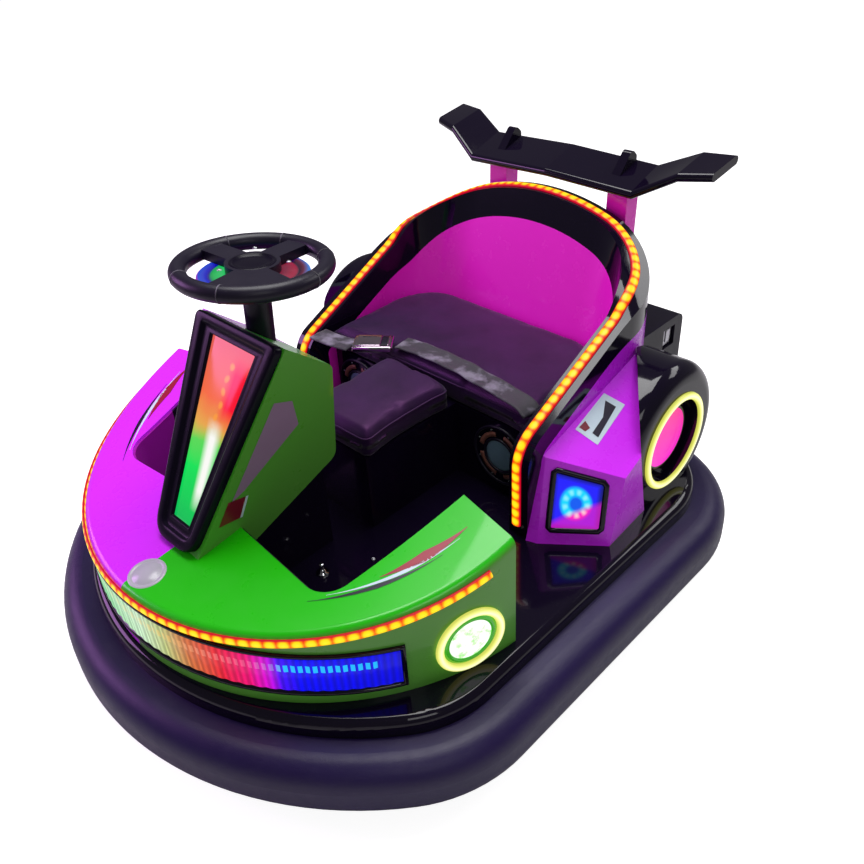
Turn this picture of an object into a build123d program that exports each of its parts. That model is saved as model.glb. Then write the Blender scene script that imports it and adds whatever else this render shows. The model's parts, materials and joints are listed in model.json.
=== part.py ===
from build123d import *
import math
import os

# Battery drift kart: rubber bumper ring, moulded body, lit trim, a steered drive wheel and two rear casters.
# Millimetres. Front is -Y, the driver's left is +X, up is +Z.
# Lengths along Y are drawn from a datum under the cockpit, then moved so that the origin lies on the floor
# below the middle of the overall length.

# Fits and walls
seat_gap = 0.3
running_gap = 0.3
shell_wall = 5

# Bumper ring
ring_front_y = -642
ring_rear_y = 642
ring_half_width = 572
ring_front_flatness = 88
ring_rear_flatness = 1228
ring_corner_r = 280
ring_rear_corner_r = 260
ring_width = 96
ring_bottom_z = 45
ring_top_z = 152
ring_top_round = 44
ring_bottom_round = 34

# Base pan
deck_z = 187
pan_bottom_z = 68
pan_rim_inset = 70
pan_rim_round = 16
pan_deck_underside_z = deck_z - shell_wall
pan_skirt_inset = ring_width + seat_gap

# Front cowl, set inside the pan's rim
cowl_side_margin = 24
cowl_nose_margin = 16
cowl_r = ring_half_width - pan_rim_inset - cowl_side_margin
cowl_nose_y = ring_front_y + pan_rim_inset + cowl_nose_margin
cowl_centre_y = cowl_nose_y + cowl_r
cowl_end_angle = 84
cowl_nose_z = 326
cowl_middle_y = cowl_nose_y + 206
cowl_middle_z = 354
cowl_tail_z = 426
cowl_overrun = 20
cowl_edge_round = 14
opening_front_x = cowl_r - 180
opening_front_y = cowl_nose_y + 184
opening_rear_x = cowl_r - 130
opening_rear_y = cowl_centre_y - 27
opening_corner_r = 50
liner_wall = 4
liner_drop = 6

# Console, set back from the cowl's nose
console_front_foot = (cowl_nose_y + 90, 300)
console_front_top = (cowl_nose_y + 317, 664)
console_rear_top = (cowl_nose_y + 410, 588)
console_rear_low = (cowl_nose_y + 415, 387)
console_rear_foot = (cowl_nose_y + 226, 300)
console_corner_r = 22
console_half_width_low = 54
console_half_width_high = 112
frame_foot = 30
frame_head = 418
frame_half_width_low = 51
frame_half_width_high = 108
frame_thickness = 16
frame_chin_r = 30
frame_brow_r = 10
frame_step = 6
frame_step_margin = 12
panel_foot = 88
panel_head = 399
panel_half_width_low = 26
panel_half_width_high = 60
panel_thickness = 5
pedestal_half_width = 52
pedestal_rear_y = cowl_nose_y + 391

# Steering
wheel_y = cowl_nose_y + 358
wheel_z = 756
wheel_tilt = 4
wheel_rim_r = 116
wheel_tube_r = 14
wheel_hub_r = 44
wheel_hub_height = 16
spoke_width = 40
spoke_angles = (99, 184)
wheel_plate_angles = (285, 358)
wheel_pad_r = 32
wheel_pad_depth = 3
light_disc_r = 90
light_disc_thickness = 8
column_r = 23
column_length = 190
column_clearance = 2
shaft_r = 14
shaft_clearance = 6

# Drive unit
drive_wheel_r = 75
drive_wheel_width = 44
drive_motor_r = 46
drive_axle_r = 8
tyre_round = 8
fork_plate = 8
fork_plate_width = 44
fork_side_gap = 6
fork_crown_thickness = 10

# Rear casters
caster_x = 300
caster_y = 395
caster_wheel_r = 50
caster_wheel_width = 30
caster_trail = 34
caster_axle_r = 5
caster_axle_boss_r = 15
caster_round = 6
caster_fork_plate = 4
caster_side_gap = 3
caster_crown_gap = 8
caster_plate_width = 90
caster_plate_thickness = 6
caster_race_r = 30

# Chassis
tube = 30
rail_front_y = ring_front_y + 242
rail_rear_y = ring_rear_y - 172
bearing_span = 215
bearing_plate = 6
bearing_plate_width = 120
bearing_r = 30
bearing_boss = 6
middle_tube_y = 130
rear_tube_y = 300
jack_pad_y = 0
jack_pad_width = 60
jack_pad_thickness = 6

# Seat shell: a double wall in a U, with its edge drawn in side and front view
shell_half_width = 333
shell_thickness = 44
shell_skin = 8
shell_back_y = 568
shell_corner_r = 176
shell_front_y = 80
shell_knee = (shell_front_y, 386)
shell_knee_r = 71
shell_rise = (shell_front_y + 294, 529)
shell_rise_r = 60
shell_back_top = (shell_front_y + 454, 700)
arch_centre_z = 168
arch_r = 498
arch_blend_r = 55
trim_outer_width = 38
trim_inner_width = 58
trim_inner_back_top = (shell_front_y + 400, 700)
strip_inset = 26
strip_width = 20
strip_proud = 6
strip_foot_z = 205
lining_thickness = 4
lining_recline = 14.3
lining_head_z = 670

# Seat
bench_front_y = 145
bench_top_z = 420
bench_thickness = 65
saddle_half_width = 97
saddle_front_y = -100
saddle_top_z = 420
saddle_thickness = 65
cushion_round = 18
pedestal_wall = 5
pedestal_setback = 12
pedestal_gap = 6
service_disc_x = 205
service_disc_z = 282
service_disc_r = 68
service_disc_depth = 4
battery_length = 330
battery_width = 150
battery_height = 120

# Side pods: corners of the lamp face, the sloping top and the rear edge
pod_inner_foot = (shell_half_width + seat_gap, shell_front_y - 5, deck_z)
pod_lamp_low_inner = (shell_half_width + 22, shell_front_y + 2, deck_z)
pod_lamp_low_outer = (shell_half_width + 129, shell_front_y + 84, deck_z)
pod_lamp_high_inner = (shell_half_width + 5, shell_front_y + 44, 358)
pod_lamp_high_outer = (shell_half_width + 114, shell_front_y + 117, 325)
pod_rear_foot = (shell_half_width + 121, shell_front_y + 214, deck_z)
pod_rear_high = (shell_half_width + 122, shell_front_y + 178, 342)
pod_tip = (shell_half_width + seat_gap, shell_front_y + 337, 444)
pod_lamp_margin = 14
pod_lamp_lift = 12
pod_bezel_width = 9
pod_bezel_proud = 4
pod_lens_proud = 2

# Mock rear wheels
mock_y = 384
mock_z = 304
mock_r = 156
mock_width = 119
mock_round = 34
mock_halo_r = 94
mock_halo_tube_r = 7
mock_hub_r = 76
mock_dish = 26
mock_hub_thickness = 10

# Tail box
tail_half_width = 300
tail_rear_y = 650
tail_low_z = 236
tail_top_z = 430
tail_round = 20
latch_y = 598
latch_z = 388
latch_length = 44
latch_height = 46
latch_depth = 10

# Wing stations: x, then y and z of the front edge and of the rear edge
wing_stations = (
    (0, 552, 701, 640, 727),
    (209, 555, 694, 641, 720),
    (290, 582, 737, 668, 753),
    (352, 604, 742, 681, 754),
)
wing_thickness = 18
fin_x = 150
fin_rear_y = 640
fin_height = 30
fin_length = 70
fin_thickness = 20
fin_round = 10
post_x = 158
post_width = 48
post_depth = 40
post_foot_y = 592
post_head_y = 602
post_head_z = 706

# Lamps on the cowl
cowl_strip_width = 16
strip_nose_z = 313
strip_middle_z = 340
strip_tail_y = cowl_nose_y + 377
strip_tail_z = 380
light_bar_angle = 61
light_bar_middle_low_z = 262
light_bar_middle_high_z = 303
light_bar_end_low_z = 196
light_bar_end_high_z = 292
light_bar_depth = 6
light_bar_lens_depth = 5
light_bar_margin = 8
headlamp_angle = 73
headlamp_z = 254
headlamp_halo_r = 56
headlamp_halo_tube_r = 7
headlamp_lens_r = 46
headlamp_lens_depth = 3

# Small pieces
foot_switch_x = 104
foot_switch_y = -236
foot_switch_r = 12
foot_switch_height = 22
belt_width = 46
belt_thickness = 3
belt_left_path = ((272, 166), (130, 183), (-10, 187), (-86, 180))
belt_right_path = ((-162, 108), (-215, 98), (-262, 97))
buckle_centre = (-124, 134)
buckle_turn = 38
buckle_length = 88
buckle_width = 58
buckle_thickness = 18
buckle_round = 8

wing_rear_tip_y = max(station[3] for station in wing_stations) + wing_thickness / 2
frame_y = -(ring_front_y + wing_rear_tip_y) / 2
os.makedirs("parts", exist_ok=True)


def write(piece, name):
    """Write one finished piece, moved from the drawing datum to the kart's origin."""
    placed = piece.part.moved(Location((0, frame_y, 0)))
    placed.label = name
    export_step(placed, f"parts/{name}.step")


def mirrored(piece):
    """The piece and its twin on the other side of the kart."""
    with BuildPart() as pair:
        add(piece.part)
        mirror(piece.part, about=Plane.YZ)
    return pair


def ring_plan(inset):
    """The kart's outline from above as a sketch, moved inwards by inset."""
    front_r = ring_half_width + ring_front_flatness
    rear_r = ring_half_width + ring_rear_flatness
    front_centre_y = ring_front_y + front_r
    corner_x = ring_half_width - ring_corner_r
    corner_reach = front_r - ring_corner_r
    front_angle = math.degrees(math.asin(corner_x / corner_reach))
    corner_y = front_centre_y - corner_reach * math.cos(math.radians(front_angle))
    rear_centre_y = ring_rear_y - rear_r
    rear_x = ring_half_width - ring_rear_corner_r
    rear_reach = rear_r - ring_rear_corner_r
    rear_angle = math.degrees(math.asin(rear_x / rear_reach))
    rear_y = rear_centre_y + rear_reach * math.cos(math.radians(rear_angle))
    side_x = ring_half_width - inset
    with BuildSketch() as plan:
        with BuildLine():
            CenterArc((0, front_centre_y), front_r - inset, -90, front_angle)
            CenterArc((corner_x, corner_y), ring_corner_r - inset, front_angle - 90, 90 - front_angle)
            Line((side_x, corner_y), (side_x, rear_y))
            CenterArc((rear_x, rear_y), ring_rear_corner_r - inset, 0, 90 - rear_angle)
            CenterArc((0, rear_centre_y), rear_r - inset, 90 - rear_angle, rear_angle)
            mirror(about=Plane.YZ)
        make_face()
    return plan.sketch


# Bumper ring
with BuildPart() as bumper_ring:
    with BuildSketch(Plane.XY.offset(ring_bottom_z)):
        add(ring_plan(0))
    extrude(amount=ring_top_z - ring_bottom_z)
    fillet(bumper_ring.faces().sort_by(Axis.Z)[-1].edges(), ring_top_round)
    fillet(bumper_ring.faces().sort_by(Axis.Z)[0].edges(), ring_bottom_round)
    with BuildSketch(Plane.XY.offset(ring_bottom_z)):
        add(ring_plan(ring_width))
    extrude(amount=ring_top_z - ring_bottom_z, mode=Mode.SUBTRACT)
write(bumper_ring, "bumper_ring")

# Steering axis, from the steering wheel down to the drive wheel
tilt = math.radians(wheel_tilt)
steer_plane = Plane(
    origin=(0, wheel_y, wheel_z), x_dir=(1, 0, 0), z_dir=(0, math.sin(tilt), math.cos(tilt))
)


def drop(z):
    """Distance down the steering axis from the steering wheel to height z."""
    return (wheel_z - z) / math.cos(tilt)


def axis_y(z):
    """Y of the steering axis at height z."""
    return wheel_y - (wheel_z - z) * math.tan(tilt)


def shaft_rod(radius, low_z, high_z):
    """A round rod along the steering axis between two heights, for shafts and their passages."""
    with BuildPart() as rod:
        with BuildSketch(steer_plane.offset(-drop(low_z))):
            Circle(radius)
        extrude(amount=drop(low_z) - drop(high_z))
    return rod.part


# Base pan: a rim that rests on the ring, a skirt inside it and the deck
with BuildPart() as base_pan:
    with BuildSketch(Plane.XY.offset(ring_top_z)):
        add(ring_plan(pan_rim_inset))
    extrude(amount=deck_z - ring_top_z)
    fillet(base_pan.faces().sort_by(Axis.Z)[-1].edges(), pan_rim_round)
    with BuildSketch(Plane.XY.offset(pan_bottom_z)):
        add(ring_plan(pan_skirt_inset))
    extrude(amount=ring_top_z - pan_bottom_z)
    with BuildSketch(Plane.XY.offset(pan_bottom_z)):
        add(ring_plan(pan_skirt_inset + shell_wall))
    extrude(amount=pan_deck_underside_z - pan_bottom_z, mode=Mode.SUBTRACT)
    add(shaft_rod(shaft_r + shaft_clearance, pan_bottom_z, deck_z + shell_wall), mode=Mode.SUBTRACT)
write(base_pan, "base_pan")

# Chassis frame of square tube, with a plate and boss that carry the drive unit and two jacking pads
tube_centre_z = pan_deck_underside_z - tube / 2
bearing_boss_z = pan_deck_underside_z - bearing_plate - bearing_boss
bearing_front_y = axis_y(tube_centre_z) - bearing_span / 2
bearing_rear_y = bearing_front_y + bearing_span
front_tube_y = rail_front_y + tube / 2
end_tube_y = rail_rear_y - tube / 2
with BuildPart() as chassis_frame:
    for side in (-1, 1):
        with Locations((side * caster_x, (rail_front_y + rail_rear_y) / 2, tube_centre_z)):
            Box(tube, rail_rear_y - rail_front_y, tube)
        with Locations((side * caster_x, jack_pad_y, pan_deck_underside_z - tube)):
            Box(
                jack_pad_width,
                jack_pad_width,
                jack_pad_thickness,
                align=(Align.CENTER, Align.CENTER, Align.MAX),
            )
    for cross_y in (front_tube_y, bearing_front_y, bearing_rear_y, middle_tube_y, rear_tube_y, end_tube_y):
        with Locations((0, cross_y, tube_centre_z)):
            Box(2 * caster_x, tube, tube)
    with Locations((0, (bearing_front_y + bearing_rear_y) / 2, pan_deck_underside_z - bearing_plate / 2)):
        Box(bearing_plate_width, bearing_span, bearing_plate)
    add(shaft_rod(bearing_r, bearing_boss_z, pan_deck_underside_z - bearing_plate / 2))
    add(shaft_rod(shaft_r + running_gap, pan_bottom_z, deck_z), mode=Mode.SUBTRACT)
write(chassis_frame, "chassis_frame")


def below_cowl_top(lowered):
    """Everything below the cowl's top surface, lowered by a distance."""
    front_y = cowl_nose_y - cowl_overrun
    rear_y = opening_rear_y + cowl_overrun
    with BuildPart() as below:
        with BuildSketch(Plane.YZ):
            with BuildLine():
                top = ThreePointArc(
                    (front_y, cowl_nose_z - lowered),
                    (cowl_middle_y, cowl_middle_z - lowered),
                    (rear_y, cowl_tail_z - lowered),
                )
                Polyline(top @ 1, (rear_y, 0), (front_y, 0), top @ 0)
            make_face()
        extrude(amount=cowl_r + cowl_overrun, both=True)
    return below.part


def on_fascia(angle, z, out=0):
    """Point on the fascia at an angle from straight ahead."""
    reach = cowl_r + out
    turn = math.radians(angle)
    return (reach * math.sin(turn), cowl_centre_y - reach * math.cos(turn), z)


def opening_plan(inset):
    """Cockpit opening of the cowl from above as a sketch, moved inwards by inset and run out to the rear."""
    with BuildSketch() as plan:
        with BuildLine():
            Polyline(
                (0, cowl_middle_y),
                (opening_front_x, opening_front_y),
                (opening_rear_x, opening_rear_y),
                (opening_rear_x, 0),
                (0, 0),
            )
            mirror(about=Plane.YZ)
        make_face()
        fillet(plan.vertices().filter_by(lambda v: abs(v.Y - opening_front_y) < seat_gap), opening_corner_r)
        if inset:
            offset(amount=-inset, kind=Kind.INTERSECTION)
    return plan.sketch


# Front cowl: a C seen from above, with a round fascia and a cockpit opening
with BuildPart() as cowl_blank:
    with BuildSketch(Plane.XY.offset(deck_z)):
        with BuildLine():
            CenterArc((0, cowl_centre_y), cowl_r, -90, cowl_end_angle)
            Polyline(on_fascia(cowl_end_angle, 0)[:2], (opening_rear_x, opening_rear_y), (0, opening_rear_y))
            mirror(about=Plane.YZ)
        make_face()
        add(opening_plan(0), mode=Mode.SUBTRACT)
    extrude(amount=cowl_tail_z)
    add(below_cowl_top(0), mode=Mode.INTERSECT)
    fascia_reach = cowl_r - cowl_edge_round / 2
    rim = cowl_blank.edges().filter_by(
        lambda e: min(math.hypot(p.X, p.Y - cowl_centre_y) for p in (e @ 0, e @ 0.5, e @ 1)) > fascia_reach
        and e.center().Z > deck_z + cowl_edge_round
        and math.hypot((e @ 0).X - (e @ 1).X, (e @ 0).Y - (e @ 1).Y) > cowl_edge_round
    )
    fillet(rim, cowl_edge_round)


# Cockpit liner: the opening's inner wall, from the deck to just under the cowl's edge
with BuildPart() as cockpit_liner:
    with BuildSketch(Plane.XY.offset(deck_z)):
        add(opening_plan(0))
        add(opening_plan(liner_wall), mode=Mode.SUBTRACT)
    extrude(amount=cowl_tail_z)
    split(bisect_by=Plane.XZ.offset(-opening_rear_y), keep=Keep.TOP)
    add(below_cowl_top(liner_drop), mode=Mode.INTERSECT)

# Console: a wedge that stands on the cowl and carries the column
with BuildPart() as console_wedge:
    with BuildSketch(Plane.YZ) as side_view:
        with BuildLine():
            Polyline(
                console_front_foot,
                console_front_top,
                console_rear_top,
                console_rear_low,
                console_rear_foot,
                close=True,
            )
        make_face()
        fillet(side_view.vertices().group_by(Axis.X)[-2:], console_corner_r)
    extrude(amount=2 * console_half_width_high, both=True)
    with BuildSketch(Plane.XZ):
        with BuildLine():
            Polyline(
                (console_half_width_low, console_front_foot[1]),
                (console_half_width_high, console_front_top[1]),
                (-console_half_width_high, console_front_top[1]),
                (-console_half_width_low, console_front_foot[1]),
                close=True,
            )
        make_face()
    extrude(amount=2 * cowl_r, both=True, mode=Mode.INTERSECT)

with BuildPart() as console_blank:
    add(console_wedge.part)
    add(cowl_blank.part, mode=Mode.SUBTRACT)
    add(cockpit_liner.part, mode=Mode.SUBTRACT)
    add(shaft_rod(column_r + column_clearance, deck_z, wheel_z), mode=Mode.SUBTRACT)

for name, blank in (("front_cowl", cowl_blank), ("console", console_blank)):
    for side, keep in (("left", Keep.TOP), ("right", Keep.BOTTOM)):
        with BuildPart() as half:
            add(blank.part)
            split(bisect_by=Plane.YZ, keep=keep)
        write(half, f"{name}_{side}")
write(cockpit_liner, "cockpit_liner")

# Pedestal under the console, round the steering shaft
with BuildPart() as console_pedestal:
    with Locations((0, (cowl_middle_y + pedestal_rear_y) / 2, deck_z)):
        Box(
            2 * pedestal_half_width,
            pedestal_rear_y - cowl_middle_y,
            console_rear_low[1] - deck_z,
            align=(Align.CENTER, Align.CENTER, Align.MIN),
        )
    add(console_wedge.part, mode=Mode.SUBTRACT)
    add(cowl_blank.part, mode=Mode.SUBTRACT)
    add(cockpit_liner.part, mode=Mode.SUBTRACT)
    add(shaft_rod(shaft_r + shaft_clearance, pan_bottom_z, wheel_z), mode=Mode.SUBTRACT)
write(console_pedestal, "console_pedestal")

# Front of the console: a plane up its sloping face, with the frame and the display panel on it
slope = math.atan2(console_front_top[1] - console_front_foot[1], console_front_top[0] - console_front_foot[0])
front_plane = Plane(
    origin=(0, console_front_foot[0], console_front_foot[1]),
    x_dir=(1, 0, 0),
    z_dir=(0, -math.sin(slope), math.cos(slope)),
)


def tapered(foot, head, low, high):
    """A face on the console's front plane, between two heights, that widens from low to high on each side."""
    with BuildSketch() as outline:
        with BuildLine():
            Polyline((low, foot), (high, head), (-high, head), (-low, foot), close=True)
        make_face()
    return outline.sketch


def panel_outline(margin):
    """The display panel's tapering outline with a margin all round."""
    flare = (panel_half_width_high - panel_half_width_low) / (panel_head - panel_foot)
    low = panel_half_width_low + margin * (1 - flare)
    high = panel_half_width_high + margin * (1 + flare)
    return tapered(panel_foot - margin, panel_head + margin, low, high)


with BuildPart() as console_frame:
    with BuildSketch(front_plane) as frame_face:
        add(tapered(frame_foot, frame_head, frame_half_width_low, frame_half_width_high))
        fillet(frame_face.vertices().group_by(Axis.Y)[0], frame_chin_r)
        fillet(frame_face.vertices().group_by(Axis.Y)[-1], frame_brow_r)
    extrude(amount=frame_thickness)
    with BuildSketch(front_plane.offset(frame_thickness)):
        add(panel_outline(frame_step_margin))
    extrude(amount=-frame_step, mode=Mode.SUBTRACT)
    with BuildSketch(front_plane):
        add(panel_outline(0))
    extrude(amount=frame_thickness, mode=Mode.SUBTRACT)
    add(cowl_blank.part, mode=Mode.SUBTRACT)
write(console_frame, "console_frame")

with BuildPart() as display_panel:
    with BuildSketch(front_plane.offset(seat_gap)):
        add(panel_outline(-seat_gap))
    extrude(amount=panel_thickness)
    add(cowl_blank.part, mode=Mode.SUBTRACT)
write(display_panel, "display_panel")


def sector(radius, start, end):
    """A round slice from the middle, between two angles."""
    with BuildSketch() as slice_face:
        with BuildLine():
            rim = CenterArc((0, 0), radius, start, end - start)
            Line((0, 0), rim @ 0)
            Line(rim @ 1, (0, 0))
        make_face()
    return slice_face.sketch


# Steering wheel: rim, hub with a round recess, two spokes and a wide plate opposite them
with BuildPart() as steering_wheel:
    with BuildSketch(steer_plane.offset(-wheel_hub_height / 2)):
        Circle(wheel_hub_r)
        add(sector(wheel_rim_r, *wheel_plate_angles))
        for angle in spoke_angles:
            with Locations(Rot(0, 0, angle) * Pos(wheel_rim_r / 2, 0)):
                Rectangle(wheel_rim_r, spoke_width)
    extrude(amount=wheel_hub_height)
    with BuildSketch(steer_plane.offset(wheel_hub_height / 2)):
        Circle(wheel_pad_r)
    extrude(amount=-wheel_pad_depth, mode=Mode.SUBTRACT)
    with Locations(steer_plane):
        Torus(wheel_rim_r, wheel_tube_r)
write(steering_wheel, "steering_wheel")

# Light disc under the wheel
with BuildPart() as wheel_light_disc:
    with BuildSketch(steer_plane.offset(-wheel_hub_height / 2 - light_disc_thickness - seat_gap)):
        Circle(light_disc_r)
        Circle(column_r + seat_gap, mode=Mode.SUBTRACT)
    extrude(amount=light_disc_thickness)
write(wheel_light_disc, "wheel_light_disc")

# Column and shaft, down to the fork's crown
crown_top_z = bearing_boss_z - running_gap
crown_low_z = crown_top_z - fork_crown_thickness
column_head_z = wheel_z - (wheel_hub_height / 2 + seat_gap) * math.cos(tilt)
column_low_z = column_head_z - column_length
with BuildPart() as steering_column:
    add(shaft_rod(column_r, column_low_z, column_head_z))
    add(shaft_rod(shaft_r, crown_top_z, column_low_z))
write(steering_column, "steering_column")

# Drive fork: crown and two side plates, square to the steering axis
axle_drop = drop(drive_wheel_r)
fork_half_gap = drive_wheel_width / 2 + fork_side_gap
with BuildPart() as drive_fork:
    add(shaft_rod(fork_half_gap + fork_plate, crown_low_z, crown_top_z))
    for side in (-1, 1):
        fork_x = side * (fork_half_gap + fork_plate / 2)
        with BuildSketch(steer_plane.offset(-axle_drop)):
            with Locations((fork_x, 0)):
                Rectangle(fork_plate, fork_plate_width)
        extrude(amount=axle_drop - drop(crown_top_z))
        with BuildSketch(Plane.YZ.offset(fork_x - fork_plate / 2)):
            with Locations((axis_y(drive_wheel_r), drive_wheel_r)):
                Circle(fork_plate_width / 2)
        extrude(amount=fork_plate)
    with BuildSketch(Plane.YZ.offset(-fork_half_gap - fork_plate)):
        with Locations((axis_y(drive_wheel_r), drive_wheel_r)):
            Circle(drive_axle_r + running_gap)
    extrude(amount=2 * (fork_half_gap + fork_plate), mode=Mode.SUBTRACT)
write(drive_fork, "drive_fork")

# Drive wheel: tyre and the hub motor with its axle
wheel_plane = Plane(
    origin=(0, axis_y(drive_wheel_r), drive_wheel_r), x_dir=(0, 1, 0), z_dir=(1, 0, 0)
)
with BuildPart() as drive_tyre:
    with BuildSketch(wheel_plane.offset(-drive_wheel_width / 2)):
        Circle(drive_wheel_r)
    extrude(amount=drive_wheel_width)
    fillet(drive_tyre.edges().filter_by(GeomType.CIRCLE), tyre_round)
    with BuildSketch(wheel_plane.offset(-drive_wheel_width / 2)):
        Circle(drive_motor_r + seat_gap)
    extrude(amount=drive_wheel_width, mode=Mode.SUBTRACT)
write(drive_tyre, "drive_tyre")

with BuildPart() as drive_motor:
    with BuildSketch(wheel_plane.offset(-drive_wheel_width / 2)):
        Circle(drive_motor_r)
    extrude(amount=drive_wheel_width)
    with BuildSketch(wheel_plane.offset(-fork_half_gap - fork_plate)):
        Circle(drive_axle_r)
    extrude(amount=2 * (fork_half_gap + fork_plate))
write(drive_motor, "drive_motor")

# Rear casters: a plate and race on the rails, a fork that swivels under it and its wheel
caster_plate_top_z = pan_deck_underside_z - tube
race_top_z = caster_plate_top_z - caster_plate_thickness
caster_crown_z = 2 * caster_wheel_r + caster_crown_gap
caster_crown_top_z = caster_crown_z + caster_plate_thickness
with BuildPart() as caster_plates:
    for side in (-1, 1):
        with Locations((side * caster_x, caster_y, race_top_z)):
            Box(
                caster_plate_width,
                caster_plate_width,
                caster_plate_thickness,
                align=(Align.CENTER, Align.CENTER, Align.MIN),
            )
            Cylinder(
                caster_race_r,
                race_top_z - caster_crown_top_z - running_gap,
                align=(Align.CENTER, Align.CENTER, Align.MAX),
            )
write(caster_plates, "caster_plates")

for side, side_name in ((1, "left"), (-1, "right")):
    with BuildPart() as caster_fork:
        fork_x = caster_wheel_width / 2 + caster_side_gap
        with BuildSketch(Plane.XY.offset(caster_crown_z)):
            with Locations((side * caster_x, caster_y)):
                Circle(caster_race_r)
                Rectangle(2 * (fork_x + caster_fork_plate), 2 * caster_race_r)
        extrude(amount=caster_plate_thickness)
        for cheek in (-1, 1):
            cheek_x = side * caster_x + cheek * (fork_x + caster_fork_plate / 2) - caster_fork_plate / 2
            with BuildSketch(Plane.YZ.offset(cheek_x)):
                with BuildLine():
                    Polyline(
                        (caster_y - caster_race_r, caster_crown_z),
                        (caster_y + caster_race_r, caster_crown_z),
                        (caster_y + caster_trail + caster_axle_boss_r, caster_wheel_r),
                        (caster_y + caster_trail, caster_wheel_r - caster_axle_boss_r),
                        (caster_y + caster_trail - caster_axle_boss_r, caster_wheel_r),
                        close=True,
                    )
                make_face()
                with Locations((caster_y + caster_trail, caster_wheel_r)):
                    Circle(caster_axle_r + running_gap, mode=Mode.SUBTRACT)
            extrude(amount=caster_fork_plate)
    write(caster_fork, f"caster_fork_{side_name}")
    caster_plane = Plane(
        origin=(side * caster_x, caster_y + caster_trail, caster_wheel_r), x_dir=(0, 1, 0), z_dir=(1, 0, 0)
    )
    with BuildPart() as caster_wheel:
        with BuildSketch(caster_plane.offset(-caster_wheel_width / 2)):
            Circle(caster_wheel_r)
        extrude(amount=caster_wheel_width)
        fillet(caster_wheel.edges().filter_by(GeomType.CIRCLE), caster_round)
        with BuildSketch(caster_plane.offset(-fork_x - caster_fork_plate)):
            Circle(caster_axle_r)
        extrude(amount=2 * (fork_x + caster_fork_plate))
    write(caster_wheel, f"caster_wheel_{side_name}")


def shell_plan(inset):
    """The seat shell from above as a solid U, its outer face moved inwards by inset."""
    with BuildSketch() as plan:
        with Locations((0, shell_back_y - inset)):
            Rectangle(2 * (shell_half_width - inset), 2 * shell_back_y, align=(Align.CENTER, Align.MAX))
        fillet(plan.vertices().group_by(Axis.Y)[-1], shell_corner_r - inset)
    return plan.sketch


def shell_block(inset):
    """The shell's plan from the deck upwards."""
    with BuildPart() as block:
        with BuildSketch(Plane.XY.offset(deck_z)):
            add(shell_plan(inset))
        extrude(amount=shell_back_top[1])
    return block.part


def seat_space(grow):
    """The room for the rider inside the shell: its back leans with the lining, grown outwards by grow."""
    recline = math.radians(lining_recline)
    rise = lining_head_z - deck_z
    back_y = shell_back_y - shell_thickness - rise * math.tan(recline) + grow
    half = shell_half_width - shell_thickness + grow
    with BuildPart() as space:
        with BuildSketch(Plane.XY.offset(deck_z)) as plan:
            with Locations((0, back_y)):
                Rectangle(2 * half, 2 * shell_back_y, align=(Align.CENTER, Align.MAX))
            fillet(plan.vertices().group_by(Axis.Y)[-1], shell_corner_r - shell_thickness + grow)
        extrude(amount=2 * rise, dir=(0, math.sin(recline), math.cos(recline)))
    return space.part


def shell_envelope(inset, back_top=shell_back_top):
    """The space behind and below the hoop's edge, with that edge moved back by inset."""
    low_z = deck_z - trim_inner_width
    with BuildPart() as envelope:
        with BuildSketch(Plane.YZ) as side_view:
            with BuildLine():
                Polyline(
                    (shell_front_y, low_z),
                    shell_knee,
                    shell_rise,
                    back_top,
                    (2 * shell_back_y, back_top[1]),
                    (2 * shell_back_y, low_z),
                    close=True,
                )
            make_face()
            fillet(side_view.vertices().sort_by_distance(shell_knee)[0], shell_knee_r)
            fillet(side_view.vertices().sort_by_distance(shell_rise)[0], shell_rise_r)
            if inset:
                offset(amount=-inset, kind=Kind.INTERSECTION)
        extrude(amount=shell_half_width + shell_thickness, both=True)
        with BuildSketch(Plane.XZ.offset(-3 * shell_back_y)):
            with Locations((0, arch_centre_z)):
                Circle(arch_r - inset)
                Rectangle(2 * arch_r, 2 * arch_r, align=(Align.CENTER, Align.MAX))
        extrude(amount=4 * shell_back_y, mode=Mode.INTERSECT)
        crease = envelope.edges().filter_by(GeomType.ELLIPSE)
        fillet(crease.filter_by(lambda e: e.center().Z > shell_rise[1] - inset), arch_blend_r)
        with Locations((0, 0, deck_z)):
            Box(
                3 * shell_half_width,
                6 * shell_back_y,
                shell_back_top[1],
                align=(Align.CENTER, Align.CENTER, Align.MIN),
                mode=Mode.INTERSECT,
            )
    return envelope.part


hoop_edge = shell_envelope(0)
outer_edge = shell_envelope(trim_outer_width)
inner_edge = shell_envelope(trim_inner_width, trim_inner_back_top)

# Hoop trim: the black band along the shell's edge, wider on the inside, which closes the double wall
with BuildPart() as outer_layer:
    add(outer_edge)
    add(shell_block(shell_thickness / 2), mode=Mode.SUBTRACT)

with BuildPart() as inner_layer:
    add(inner_edge)
    add(shell_block(shell_thickness / 2), mode=Mode.INTERSECT)

with BuildPart() as hoop_trim:
    add(shell_block(0))
    add(seat_space(0), mode=Mode.SUBTRACT)
    add(hoop_edge, mode=Mode.INTERSECT)
    add(outer_layer.part, mode=Mode.SUBTRACT)
    add(inner_layer.part, mode=Mode.SUBTRACT)
write(hoop_trim, "hoop_trim")

# Outer skin of the shell
with BuildPart() as back_shell:
    add(shell_block(0))
    add(shell_block(shell_skin), mode=Mode.SUBTRACT)
    add(outer_edge, mode=Mode.INTERSECT)
write(back_shell, "back_shell")

# Lining inside the shell, with a reclined back
with BuildPart() as back_panel:
    add(seat_space(lining_thickness))
    add(seat_space(0), mode=Mode.SUBTRACT)
    add(inner_edge, mode=Mode.INTERSECT)
write(back_panel, "back_panel")

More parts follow.
